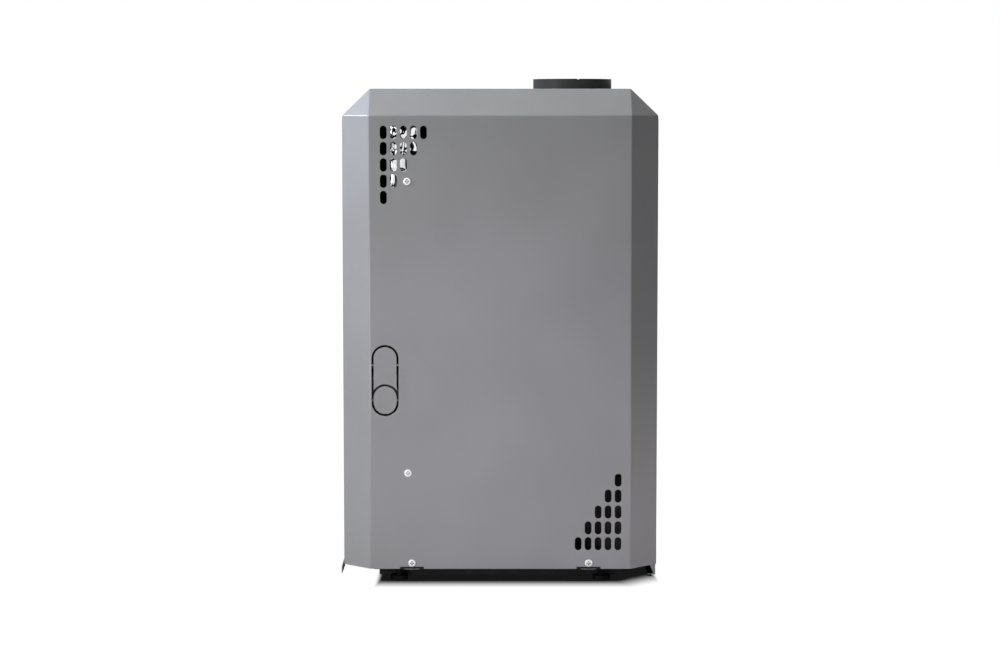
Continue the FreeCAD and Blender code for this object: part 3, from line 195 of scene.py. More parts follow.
class Graph:
    """The nodes of one material or of the world."""

    def __init__(self, tree: bpy.types.NodeTree) -> None:
        """Starts from an empty node tree."""
        tree.nodes.clear()
        self.tree = tree

    def node(
        self,
        kind: str,
        settings: Mapping[str, object] | None = None,
        sockets: Mapping[str | int, SocketValue] | None = None,
        out: str | int = 0,
    ) -> Signal | None:
        """Adds a node.

        Args:
            kind: Blender's name of the node type.
            settings: Properties that are set first; "stops" sets a colour ramp.
            sockets: Values or links of the input sockets, by name or number.
            out: Name or number of the output that is wanted.

        Returns:
            The wanted output, or None for a node without outputs.
        """
        made = self.tree.nodes.new(kind)
        for name, value in (settings or {}).items():
            if name == "stops":
                self._set_stops(made.color_ramp, value)
            else:
                setattr(made, name, value)
        for key, value in (sockets or {}).items():
            self._feed(made.inputs[key], value)
        return Signal(self, made.outputs[out]) if len(made.outputs) else None

    def _set_stops(self, ramp: bpy.types.ColorRamp, stops: Sequence[tuple[float, Colour]]) -> None:
        """Sets the stops of a colour ramp.

        Args:
            ramp: The ramp to change.
            stops: Places from 0 to 1, in rising order, each with its colour.
        """
        while len(ramp.elements) < len(stops):
            ramp.elements.new(1.0)
        for element, (place, colour) in zip(ramp.elements, stops):
            element.position = place
            element.color = (*colour, 1.0)

    def _feed(self, socket: bpy.types.NodeSocket, value: SocketValue) -> None:
        """Links a signal to a socket, or sets the socket's own value.

        Args:
            socket: The input socket.
            value: A signal, a number, a vector or a colour.
        """
        if isinstance(value, Signal):
            self.tree.links.new(value.socket, socket)
        elif socket.type == "RGBA" and len(value) == 3:
            socket.default_value = (*value, 1.0)
        else:
            socket.default_value = value

    def place(self, stretch: Spot = EVEN) -> Signal:
        """Place on the object in metres.

        Args:
            stretch: Factor along each axis; a small one draws a texture out.

        Returns:
            The place as a vector.
        """
        here = self.node("ShaderNodeTexCoord", out="Object")
        if stretch == EVEN:
            return here
        return self.node("ShaderNodeVectorMath", {"operation": "MULTIPLY"}, {0: here, 1: stretch})

    def noise(self, grain: Grain) -> Signal:
        """Soft noise from 0 to 1.

        Args:
            grain: What the noise is like.

        Returns:
            The noise as a value, spread between the grain's limits if it has them.
        """
        sockets = {
            "Vector": self.place(grain.stretch),
            "Scale": grain.scale,
            "Detail": grain.detail,
            "Distortion": grain.twist,
        }
        waves = self.node("ShaderNodeTexNoise", None, sockets)
        return self.spread(waves, *grain.limits) if grain.limits else waves

    def cells(self, scale: float) -> Signal:
        """One random value for each cell of a crystal pattern.

        Args:
            scale: Cells per metre.

        Returns:
            A value from 0 to 1 that is the same all over a cell.
        """
        tint = self.node("ShaderNodeTexVoronoi", None, {"Vector": self.place(), "Scale": scale}, "Color")
        return self.node("ShaderNodeSeparateColor", None, {"Color": tint})

    def spread(self, value: Signal, low: float, high: float) -> Signal:
        """The part of a value between two limits, stretched to run softly from 0 to 1.

        Args:
            value: The value to stretch.
            low: Where the result is 0.
            high: Where the result is 1.

        Returns:
            The stretched value.
        """
        settings = {"interpolation_type": "SMOOTHSTEP"}
        sockets = {"Value": value, "From Min": low, "From Max": high}
        return self.node("ShaderNodeMapRange", settings, sockets)

    def mix(self, share: Operand, first: SocketValue, second: SocketValue) -> Signal:
        """Blend of two colours.

        Args:
            share: 0 for the first colour, 1 for the second.
            first: The first colour.
            second: The second colour.

        Returns:
            The blended colour.
        """
        return self.node("ShaderNodeMix", {"data_type": "RGBA"}, {0: share, 6: first, 7: second}, 2)

    def facing(self, heart: Point, border: float = 0.02) -> Signal:
        """Tells the outer faces of a shell from its inner ones.

        Args:
            heart: A point inside the shell.
            border: How softly the two meet.

        Returns:
            1 where the surface looks away from the point, 0 where it looks towards it.
        """
        here = self.place()
        away = self.node("ShaderNodeVectorMath", {"operation": "SUBTRACT"}, {0: here, 1: heart})
        both = {0: away, 1: here.twin("Normal")}
        turned = self.node("ShaderNodeVectorMath", {"operation": "DOT_PRODUCT"}, both, "Value")
        return self.spread(turned, -border, border)

    def open_sky(self, reach: float, rays: int = 16) -> Signal:
        """How open the surface is to its surroundings.

        Args:
            reach: Only what lies nearer than this covers the surface.
            rays: How many directions are tried.

        Returns:
            1 where nothing is near, 0 in a closed corner.
        """
        return self.node("ShaderNodeAmbientOcclusion", {"samples": rays}, {"Distance": reach}, "AO")

    def bump(self, height: Signal, share: float, depth: float) -> Signal:
        """Fine relief for a Normal socket.

        Args:
            height: Height from 0 to 1.
            share: Share of the relief that is used.
            depth: Height of a full step, in metres.

        Returns:
            The bent normal.
        """
        sockets = {"Strength": share, "Distance": depth, "Height": height}
        return self.node("ShaderNodeBump", None, sockets)

    def relief(self, relief: Relief) -> Signal:
        """The bent normal of a relief that follows a noise."""
        return self.bump(self.noise(relief.grain), relief.share, relief.depth)


# Finishes


def shade(colour: Colour, factor: float) -> Colour:
    """A colour made darker or lighter by a factor."""
    return tuple(min(1.0, part * factor) for part in colour)


@dataclass(frozen=True)
class Finish:
    """A surface: its name, its colour and how rough it is."""

    name: str
    colour: Colour
    roughness: float

    def material(self) -> bpy.types.Material:
        """Makes the finish's material the first time that it is asked for.

        Returns:
            The finish as a material.
        """
        found = bpy.data.materials.get(self.name)
        if found is not None:
            return found
        made = bpy.data.materials.new(self.name)
        made.use_nodes = True
        graph = Graph(made.node_tree)
        surface = graph.node("ShaderNodeBsdfPrincipled", None, self.sockets(graph))
        graph.node("ShaderNodeOutputMaterial", None, {"Surface": surface})
        return made

    def sockets(self, graph: Graph) -> dict[str, SocketValue]:
        """Values and links of the surface shader.

        Args:
            graph: The material's nodes.

        Returns:
            What goes to each socket, by name.
        """
        raise NotImplementedError

    def paint(self, thing: bpy.types.Object) -> None:
        """Puts the finish on an object, in place of whatever it had."""
        thing.data.materials.clear()
        thing.data.materials.append(self.material())


@dataclass(frozen=True)
class CasingPaint(Finish):
    """Stoved metallic paint with fine flake and faint clouds; sheets are only primed inside, in a near-black
    tone that is partly painted shade for the inside of the casing.
    """

    cloud: float = 0.05
    flake: float = 0.10
    primer: Colour = (0.012, 0.012, 0.013)
    primer_dullness: float = 0.3
    heart: Spot = (0.0, 0.0, 0.38)
    wander: float = 0.10
    metal: float = 0.06
    gloss: float = 0.12
    coat: float = 0.4
    coat_roughness: float = 0.16
    clouds: Grain = Grain(5.0, 3.0, limits=(0.3, 0.7))
    flakes: Grain = Grain(1500.0, 1.0, limits=(0.35, 0.72))
    sheen: Grain = Grain(38.0, 4.0)
    peel: Relief = Relief(Grain(380.0, 1.0), 0.5, 0.00005)

    def sockets(self, graph: Graph) -> dict[str, SocketValue]:
        """Flake over clouds under a thin clear coat, and a dull near-black priming where a face looks
        inwards, darkened further as painted shade.

        Args:
            graph: The material's nodes.

        Returns:
            What goes to each socket, by name.
        """
        clouds = graph.noise(self.clouds)
        flakes = graph.noise(self.flakes)
        tones = [1 - self.cloud, 1 + self.cloud, 1 + self.flake, 1 + 2 * self.flake]
        dim, plain, bright, brightest = [shade(self.colour, tone) for tone in tones]
        paint = graph.mix(flakes, graph.mix(clouds, dim, plain), graph.mix(clouds, bright, brightest))
        outside = graph.facing(self.heart)
        dullness = self.primer_dullness * (1.0 - outside)
        return {
            # Inner faces take the near-black priming, kept this dark as painted shade inside the casing.
            "Base Color": graph.mix(outside, self.primer, paint),
            "Roughness": self.roughness + self.wander * graph.noise(self.sheen) + dullness,
            "Metallic": self.metal,
            "Specular IOR Level": self.gloss,
            "Coat Weight": self.coat * outside,
            "Coat Roughness": self.coat_roughness,
            "Normal": graph.relief(self.peel),
        }


@dataclass(frozen=True)
class Grained(Finish):
    """A finish whose colour, gloss and surface each wander with a noise."""

    second: Colour
    grain: float
    wander: float = 0.1
    metal: float = 0.0
    gloss: float = 0.5
    relief_scale: float = 600.0
    relief: float = 0.00004
    relief_share: float = 0.6
    patch_twist: float = 0.4
    patch_limits: Limits = (0.32, 0.68)
    sheen_ratio: float = 2.3

    def sockets(self, graph: Graph) -> dict[str, SocketValue]:
        """Two colours in patches, uneven gloss and a fine relief.

        Args:
            graph: The material's nodes.

        Returns:
            What goes to each socket, by name.
        """
        patches = Grain(self.grain, detail=4.0, twist=self.patch_twist, limits=self.patch_limits)
        sheen = Grain(self.grain * self.sheen_ratio, detail=3.0)
        relief = Relief(Grain(self.relief_scale), self.relief_share, self.relief)
        return {
            "Base Color": graph.mix(graph.noise(patches), self.colour, self.second),
            "Roughness": self.roughness + self.wander * graph.noise(sheen),
            "Metallic": self.metal,
            "Specular IOR Level": self.gloss,
            "Normal": graph.relief(relief),
        }


@dataclass(frozen=True)
class ZincPlate(Finish):
    """Zinc-plated steel with a crystal pattern and a faint blue and straw bloom."""

    spangle: float = 150.0
    dark_crystal: float = 0.86
    straw: tuple[Colour, Colour] = ((0.62, 0.60, 0.54), (0.72, 0.70, 0.66))
    straw_share: float = 0.5
    crystal_wander: float = 0.14
    bloom_wander: float = 0.08
    bloom: Grain = Grain(24.0, 3.0, limits=(0.35, 0.7))
    rolled: Relief = Relief(Grain(900.0, 1.0, (1.0, 1.0, 0.1)), 0.4, 0.00002)

    def sockets(self, graph: Graph) -> dict[str, SocketValue]:
        """Crystals in the colour and gloss, a bloom over them and a rolled grain.

        Args:
            graph: The material's nodes.

        Returns:
            What goes to each socket, by name.
        """
        crystals = graph.cells(self.spangle)
        bloom = graph.noise(self.bloom)
        cool = graph.mix(crystals, shade(self.colour, self.dark_crystal), self.colour)
        warm = graph.mix(crystals, *self.straw)
        return {
            "Base Color": graph.mix(self.straw_share * bloom, cool, warm),
            "Roughness": self.roughness + self.crystal_wander * crystals + self.bloom_wander * bloom,
            "Metallic": 1.0,
            "Normal": graph.relief(self.rolled),
        }


@dataclass(frozen=True)
class ScrewZinc(ZincPlate):
    """Bright zinc plate with painted shade that darkens the drive hollow of a screw's head."""

    recess: Colour = (0.05, 0.05, 0.055)
    recess_reach: float = 0.0035
    recess_limits: Limits = (0.34, 0.80)

    def sockets(self, graph: Graph) -> dict[str, SocketValue]:
        """The plate's own sockets, with painted shade: the colour darkens where a place is closed in.

        Args:
            graph: The material's nodes.

        Returns:
            What goes to each socket, by name.
        """
        plated = super().sockets(graph)
        # Painted shade: where the head closes the surface in, the colour turns towards a near-black tone.
        bright = graph.spread(graph.open_sky(self.recess_reach), *self.recess_limits)
        plated["Base Color"] = graph.mix(bright, self.recess, plated["Base Color"])
        return plated


@dataclass(frozen=True)
class HeatTint(Finish):
    """Stainless steel that the flame has tinted straw, brown and blue in bands."""

    plain_until: float = 0.45
    tints: tuple[tuple[float, Colour], ...] = (
        (0.58, (0.56, 0.45, 0.28)),
        (0.70, (0.36, 0.24, 0.20)),
        (0.84, (0.24, 0.26, 0.36)),
        (1.0, (0.42, 0.42, 0.42)),
    )
    wander: float = 0.15
    heat: Grain = Grain(16.0, 3.0, (1.0, 1.0, 0.6), 0.6)
    sheen: Grain = Grain(60.0, 3.0)
    brushed: Relief = Relief(Grain(700.0, 1.0, (0.1, 1.0, 1.0)), 0.4, 0.00002)

    def sockets(self, graph: Graph) -> dict[str, SocketValue]:
        """Tint in uneven bands over a brushed surface.

        Args:
            graph: The material's nodes.

        Returns:
            What goes to each socket, by name.
        """
        stops = [(0.0, self.colour), (self.plain_until, self.colour), *self.tints]
        heat = graph.noise(self.heat)
        return {
            "Base Color": graph.node("ShaderNodeValToRGB", {"stops": stops}, {"Fac": heat}),
            "Roughness": self.roughness + self.wander * graph.noise(self.sheen),
            "Metallic": 1.0,
            "Normal": graph.relief(self.brushed),
        }


@dataclass(frozen=True)
class CrumpledFoil(Finish):
    """Bright foil with a few dull rubs; the side that looks to the rear is bare wool."""

    bare: Colour
    bare_pits: float = 0.6
    bare_dullness: float = 0.8
    rub_shade: float = 0.82
    rub_wander: float = 0.06
    rear_limits: Limits = (0.55, 0.75)
    rubs: Grain = Grain(70.0, 3.0, twist=0.8, limits=(0.45, 0.7))
    fibre: Grain = Grain(260.0, 3.0, (1.0, 1.0, 0.2), 1.2)
    creases: Relief = Relief(Grain(120.0, 1.0, (1.0, 1.0, 0.3)), 0.15, 0.0002)

    def sockets(self, graph: Graph) -> dict[str, SocketValue]:
        """Dull rubs on a bright metal, and fibre on the rear side.

        Args:
            graph: The material's nodes.

        Returns:
            What goes to each socket, by name.
        """
        rubs = graph.noise(self.rubs)
        fibre = graph.noise(self.fibre)
        normal = graph.node("ShaderNodeTexCoord", out="Normal")
        rearward = graph.node("ShaderNodeSeparateXYZ", None, {0: normal}, "Y")
        rear = graph.spread(rearward, *self.rear_limits)
        foil = graph.mix(rubs, self.colour, shade(self.colour, self.rub_shade))
        wool = graph.mix(fibre, shade(self.bare, self.bare_pits), self.bare)
        return {
            "Base Color": graph.mix(rear, foil, wool),
            "Roughness": self.roughness + self.rub_wander * rubs + self.bare_dullness * rear,
            "Metallic": 1.0 - rear,
            "Normal": graph.relief(self.creases),
        }


@dataclass(frozen=True)
class MineralWool(Finish):
    """Pressed fibre with lighter strands, darker pits and no shine."""

    second: Colour
    gloss: float = 0.1
    along: Grain = Grain(260.0, 3.0, (1.0, 0.16, 1.0), 1.2)
    across: Grain = Grain(240.0, 3.0, (0.2, 1.0, 0.3), 1.2)
    strand_limits: Limits = (0.42, 0.68)
    pits: Grain = Grain(55.0, 4.0, limits=(0.3, 0.65))
    relief_share: float = 0.9
    relief: float = 0.0012

    def sockets(self, graph: Graph) -> dict[str, SocketValue]:
        """Strands that run two ways over soft pits.

        Args:
            graph: The material's nodes.

        Returns:
            What goes to each socket, by name.
        """
        strands = graph.noise(self.along) | graph.noise(self.across)
        pits = graph.noise(self.pits)
        tone = graph.spread(strands, *self.strand_limits) * pits
        return {
            "Base Color": graph.mix(tone, self.second, self.colour),
            "Roughness": self.roughness,
            "Specular IOR Level": self.gloss,
            "Normal": graph.bump(strands + pits, self.relief_share, self.relief),
        }


@dataclass(frozen=True)
class ClearGlass(Finish):
    """Clear glass with a faint smear that dulls its gloss in places."""

    smear_shade: float = 0.95
    wander: float = 0.06
    bending: float = 1.46
    smear: Grain = Grain(55.0, 3.0, (1.0, 1.0, 0.4), 1.0, (0.5, 0.8))

    def sockets(self, graph: Graph) -> dict[str, SocketValue]:
        """Clear glass whose gloss follows a smear.

        Args:
            graph: The material's nodes.

        Returns:
            What goes to each socket, by name.
        """
        smear = graph.noise(self.smear)
        return {
            "Base Color": graph.mix(smear, self.colour, shade(self.colour, self.smear_shade)),
            "Roughness": self.roughness + self.wander * smear,
            "Transmission Weight": 1.0,
            "IOR": self.bending,
        }


CASING_PAINT = CasingPaint("stoved_grey_paint", (0.30, 0.30, 0.315), 0.40)
# One black paint in two copies: the flue's is lighter as painted light, the base frame's is darker as painted
# shade.
FLUE_BLACK_LIT = Grained(
    "black_paint_lit_copy", (0.056, 0.058, 0.058), 0.55, second=(0.070, 0.072, 0.072), grain=22.0,
    gloss=0.06, relief_scale=520.0, relief=0.00006,
)
# Darker copy of the same black paint: painted shade for the base frame under the casing.
BASE_BLACK_SHADED = Grained(
    "black_paint_shaded_copy", (0.024, 0.024, 0.025), 0.60, second=(0.032, 0.032, 0.034), grain=26.0,
    gloss=0.04, relief_scale=520.0, relief=0.00006,
)
ZINC_SCREW = ScrewZinc("bright_zinc_screw", (0.70, 0.71, 0.74), 0.24, spangle=700.0)
ZINC_SHEET = ZincPlate("zinc_plated_sheet", (0.64, 0.66, 0.69), 0.30)
BOILER_STEEL = Grained(
    "primed_boiler_plate", (0.052, 0.052, 0.057), 0.55, second=(0.075, 0.072, 0.072), grain=14.0,
    wander=0.2, gloss=0.3, relief_scale=260.0, relief=0.00012,
)
BARE_EDGE = Grained(
    "bare_sheared_edge", (0.17, 0.17, 0.18), 0.45, second=(0.11, 0.11, 0.12), grain=160.0,
    metal=1.0, relief_scale=2400.0, relief=0.00003,
)
BURNER_STEEL = HeatTint("heat_tinted_steel", (0.58, 0.57, 0.55), 0.32)
BRASS = Grained(
    "turned_brass", (0.72, 0.52, 0.20), 0.24, second=(0.58, 0.40, 0.16), grain=60.0,
    metal=1.0, relief_scale=1400.0, relief=0.00002,
)
COPPER = Grained(
    "drawn_copper", (0.76, 0.40, 0.25), 0.26, second=(0.50, 0.25, 0.15), grain=34.0,
    metal=1.0, relief_scale=900.0, relief=0.00002,
)
CAST_ALLOY = Grained(
    "die_cast_alloy", (0.30, 0.305, 0.315), 0.46, second=(0.22, 0.225, 0.24), grain=45.0,
    metal=0.9, relief_scale=650.0, relief=0.00012,
)
FOIL = CrumpledFoil("crumpled_foil", (0.85, 0.85, 0.865), 0.07, bare=(0.30, 0.26, 0.17))
WOOL = MineralWool("mineral_wool", (0.66, 0.58, 0.38), 0.95, second=(0.36, 0.30, 0.18))
BLACK_PLASTIC = Grained(
    "fine_black_plastic", (0.020, 0.020, 0.021), 0.44, second=(0.028, 0.028, 0.030), grain=30.0,
    relief_scale=1600.0, relief=0.00005,
)
RED_PLASTIC = Grained(
    "glossy_red_plastic", (0.55, 0.025, 0.020), 0.18, second=(0.47, 0.018, 0.016), grain=40.0,
    relief_scale=500.0, relief=0.00002,
)
FOOT_RUBBER = Grained(
    "moulded_foot_rubber", (0.008, 0.008, 0.008), 0.72, second=(0.013, 0.013, 0.013), grain=70.0,
    gloss=0.0, relief_scale=700.0, relief=0.00012,
)
GLASS = ClearGlass("clear_glass", (0.97, 0.985, 0.98), 0.02)
CERAMIC = Grained(
    "white_ceramic_glaze", (0.80, 0.79, 0.75), 0.16, second=(0.72, 0.70, 0.65), grain=80.0,
    relief_scale=500.0, relief=0.00003,
)
SLEEVE = Grained(
    "silicone_sleeve", (0.16, 0.024, 0.018), 0.48, second=(0.11, 0.017, 0.013), grain=90.0,
    relief_scale=900.0, relief=0.00005,
)
NEEDLE_PAINT = Grained(
    "red_enamel", (0.60, 0.030, 0.022), 0.30, second=(0.52, 0.024, 0.018), grain=200.0,
)
DIAL_CARD = Grained(
    "dial_card_white", (0.80, 0.80, 0.78), 0.50, second=(0.74, 0.74, 0.71), grain=110.0,
    relief_scale=1800.0, relief=0.00002,
)
DIAL_INK = Grained(
    "dial_ink_black", (0.018, 0.018, 0.020), 0.50, second=(0.030, 0.030, 0.032), grain=300.0,
)


# Mesh helpers


class Sketch:
    """Corners and faces of one mesh that is being drawn.

    Attributes:
        FONT_RATIO: Size of the font over the height of its numerals.
        FONT_STEPS: Steps in each curve of a numeral.
    """

    FONT_RATIO: ClassVar[float] = 1.4
    FONT_STEPS: ClassVar[int] = 3

    def __init__(self) -> None:
        """Starts with nothing drawn."""
        self.corners: list[Vector] = []
        self.faces: list[list[int]] = []

    def loop(self, points: Iterable[Point]) -> list[int]:
        """Adds points.

        Args:
            points: The places of the points.

        Returns:
            Their numbers in the mesh.
        """
        start = len(self.corners)
        self.corners.extend(Vector(point) for point in points)
        return list(range(start, len(self.corners)))

    def skin(self, loops: Sequence[list[int]], closed: bool = False) -> None:
        """Joins each closed loop to the next with quads.

        Args:
            loops: Loops of equal length.
            closed: True if the last loop joins the first again.
        """
        pairs = list(zip(loops, loops[1:]))
        if closed:
            pairs.append((loops[-1], loops[0]))
        for low, high in pairs:
            count = len(low)
            for i in range(count):
                j = (i + 1) % count
                self.faces.append([low[i], low[j], high[j], high[i]])

    def turned(self, middle: Point, profile: Sequence[tuple[float, float]], sides: int) -> None:
        """Turns a closed profile about an axis along Y.

        Args:
            middle: A point on the axis, from which the profile is measured.
            profile: Radius and distance along Y of each corner, in order.
            sides: How many steps the turn has.
        """
        x, y, z = middle
        loops = []
        for radius, along in profile:
            ring = []
            for i in range(sides):
                turn = 2 * math.pi * i / sides
                ring.append((x + radius * math.sin(turn), y + along, z + radius * math.cos(turn)))
            loops.append(self.loop(ring))
        self.skin(loops, closed=True)

    def plate(self, outline: Sequence[Point], sweep: Point) -> None:
        """A flat outline swept into a closed plate.

        Args:
            outline: Corners of one face.
            sweep: How far the other face lies from it.
        """
        near = self.loop(outline)
        far = self.loop(Vector(point) + Vector(sweep) for point in outline)
        self.skin([near, far])
        self.faces.append(near[::-1])
        self.faces.append(far)

    def numerals(self, text: str, height: float, middle: Point, depth: float) -> None:
        """Adds upright numerals that face the front.

        Args:
            text: The numerals.
            height: Height of a numeral.
            middle: Place of the middle of their thickness.
            depth: Thickness of the numerals.
        """
        font = bpy.data.curves.new("numerals", "FONT")
        font.body = text
        font.align_x = "CENTER"
        font.align_y = "CENTER"
        font.size = height * self.FONT_RATIO
        font.extrude = depth / 2
        font.resolution_u = self.FONT_STEPS
        shown = bpy.data.objects.new("numerals", font)
        bpy.context.scene.collection.objects.link(shown)
        mesh = settled_mesh(shown)
        stand = Matrix.Translation(Vector(middle)) @ Matrix.Rotation(math.pi / 2, 4, "X")
        start = len(self.corners)
        self.corners.extend(stand @ vertex.co for vertex in mesh.vertices)
        self.faces.extend([start + number for number in face.vertices] for face in mesh.polygons)
        bpy.data.objects.remove(shown)
        bpy.data.curves.remove(font)
        bpy.data.meshes.remove(mesh)

    def mesh(self, name: str) -> bpy.types.Mesh:
        """Turns the sketch into a mesh whose faces look outwards.

        Args:
            name: The mesh's name.

        Returns:
            The mesh.
        """
        mesh = bpy.data.meshes.new(name)
        mesh.from_pydata(self.corners, [], self.faces)
        drawing = bmesh.new()
        drawing.from_mesh(mesh)
        bmesh.ops.recalc_face_normals(drawing, faces=drawing.faces)
        drawing.to_mesh(mesh)
        drawing.free()
        return mesh


def settled_mesh(thing: bpy.types.Object) -> bpy.types.Mesh:
    """Works out an object's text or modifiers.

    Args:
        thing: An object in the scene.

    Returns:
        A new mesh of what the object shows.
    """
    bpy.context.view_layer.update()
    settled = thing.evaluated_get(bpy.context.evaluated_depsgraph_get())
    return bpy.data.meshes.new_from_object(settled)


def place_piece(
    mesh: bpy.types.Mesh, finish: Finish, body: Body, smooth: float = 35.0
) -> bpy.types.Object:
    """Puts a mesh into the scene as a piece of the object, under the mesh's name.

    Args:
        mesh: The mesh, already in the frame's own place.
        finish: What it is painted with.
        body: What it moves with.
        smooth: Edges that bend less than this, in degrees, are shaded round.

    Returns:
        The new object.
    """
    mesh.polygons.foreach_set("use_smooth", [smooth > 0] * len(mesh.polygons))
    if smooth > 0:
        mesh.set_sharp_from_angle(angle=math.radians(smooth))
    thing = bpy.data.objects.new(mesh.name, mesh)
    bpy.context.scene.collection.objects.link(thing)
    finish.paint(thing)
    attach(thing, body.value)
    LOG.info("built %s with %d faces", thing.name, len(mesh.polygons))
    return thing


# Sub-assemblies


@dataclass
class Assembly:
    """A group of CAD nodes and new pieces that are built and dressed together.

    Attributes:
        coats: The CAD nodes that each finish goes on.
    """

    coats: ClassVar[Coats] = {}

    def build(self) -> None:
        """Builds the pieces that the CAD solids don't show."""

    def dress(self) -> None:
        """Paints the CAD nodes of the group."""
        for finish, nodes in self.coats.items():
            for node in nodes:
                finish.paint(frame["nodes"][node])
                LOG.info("dressed %s with %s", node, finish.name)


@dataclass
class Casing(Assembly):
    """Sheet covers, lid, rear panel and door, with their posts, screws and hinges."""

    coats: ClassVar[Coats] = {
        CASING_PAINT: ("right_side_cover", "left_side_cover", "top_lid", "rear_panel", "front_door"),
        ZINC_SCREW: ("side_cover_screws", "rear_panel_screws", "door_hinge_pins"),
        ZINC_SHEET: ("right_post", "left_post", "door_hinge_brackets"),
        BLACK_PLASTIC: ("door_magnet",),
    }


@dataclass
class BaseAndFlue(Assembly):
    """Black base frame on rubber feet, flue socket, draught hood and its baffle."""

    coats: ClassVar[Coats] = {
        BASE_BLACK_SHADED: ("base_frame",),
        FLUE_BLACK_LIT: ("flue_socket",),
        FOOT_RUBBER: ("feet",),
        ZINC_SHEET: ("draught_diverter", "diverter_baffle"),
    }

    tab_places: tuple[float, float] = (-0.140, 0.140)
    edge_length: float = 0.024
    edge_height: float = 0.0012
    edge_bow: float = 0.0006
    edge_proud: float = 0.0003
    edge_level: float = 0.0187
    edge_steps: int = 8

    def build(self) -> None:
        """Builds the bare sheared edges of the four tabs that the cover screws go into."""
        low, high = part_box("base_frame")
        sketch = Sketch()
        for side in (low.x, high.x):
            for middle in self.tab_places:
                top, bottom = [], []
                for i in range(self.edge_steps + 1):
                    across = 2 * i / self.edge_steps - 1
                    level = self.edge_level + self.edge_bow * across * across
                    y = middle + across * self.edge_length / 2
                    top.append((side, y, level + self.edge_height))
                    bottom.append((side, y, level))
                sketch.plate(top + bottom[::-1], (math.copysign(self.edge_proud, side), 0, 0))
        place_piece(sketch.mesh("base_tab_edges"), BARE_EDGE, Body.CASING)


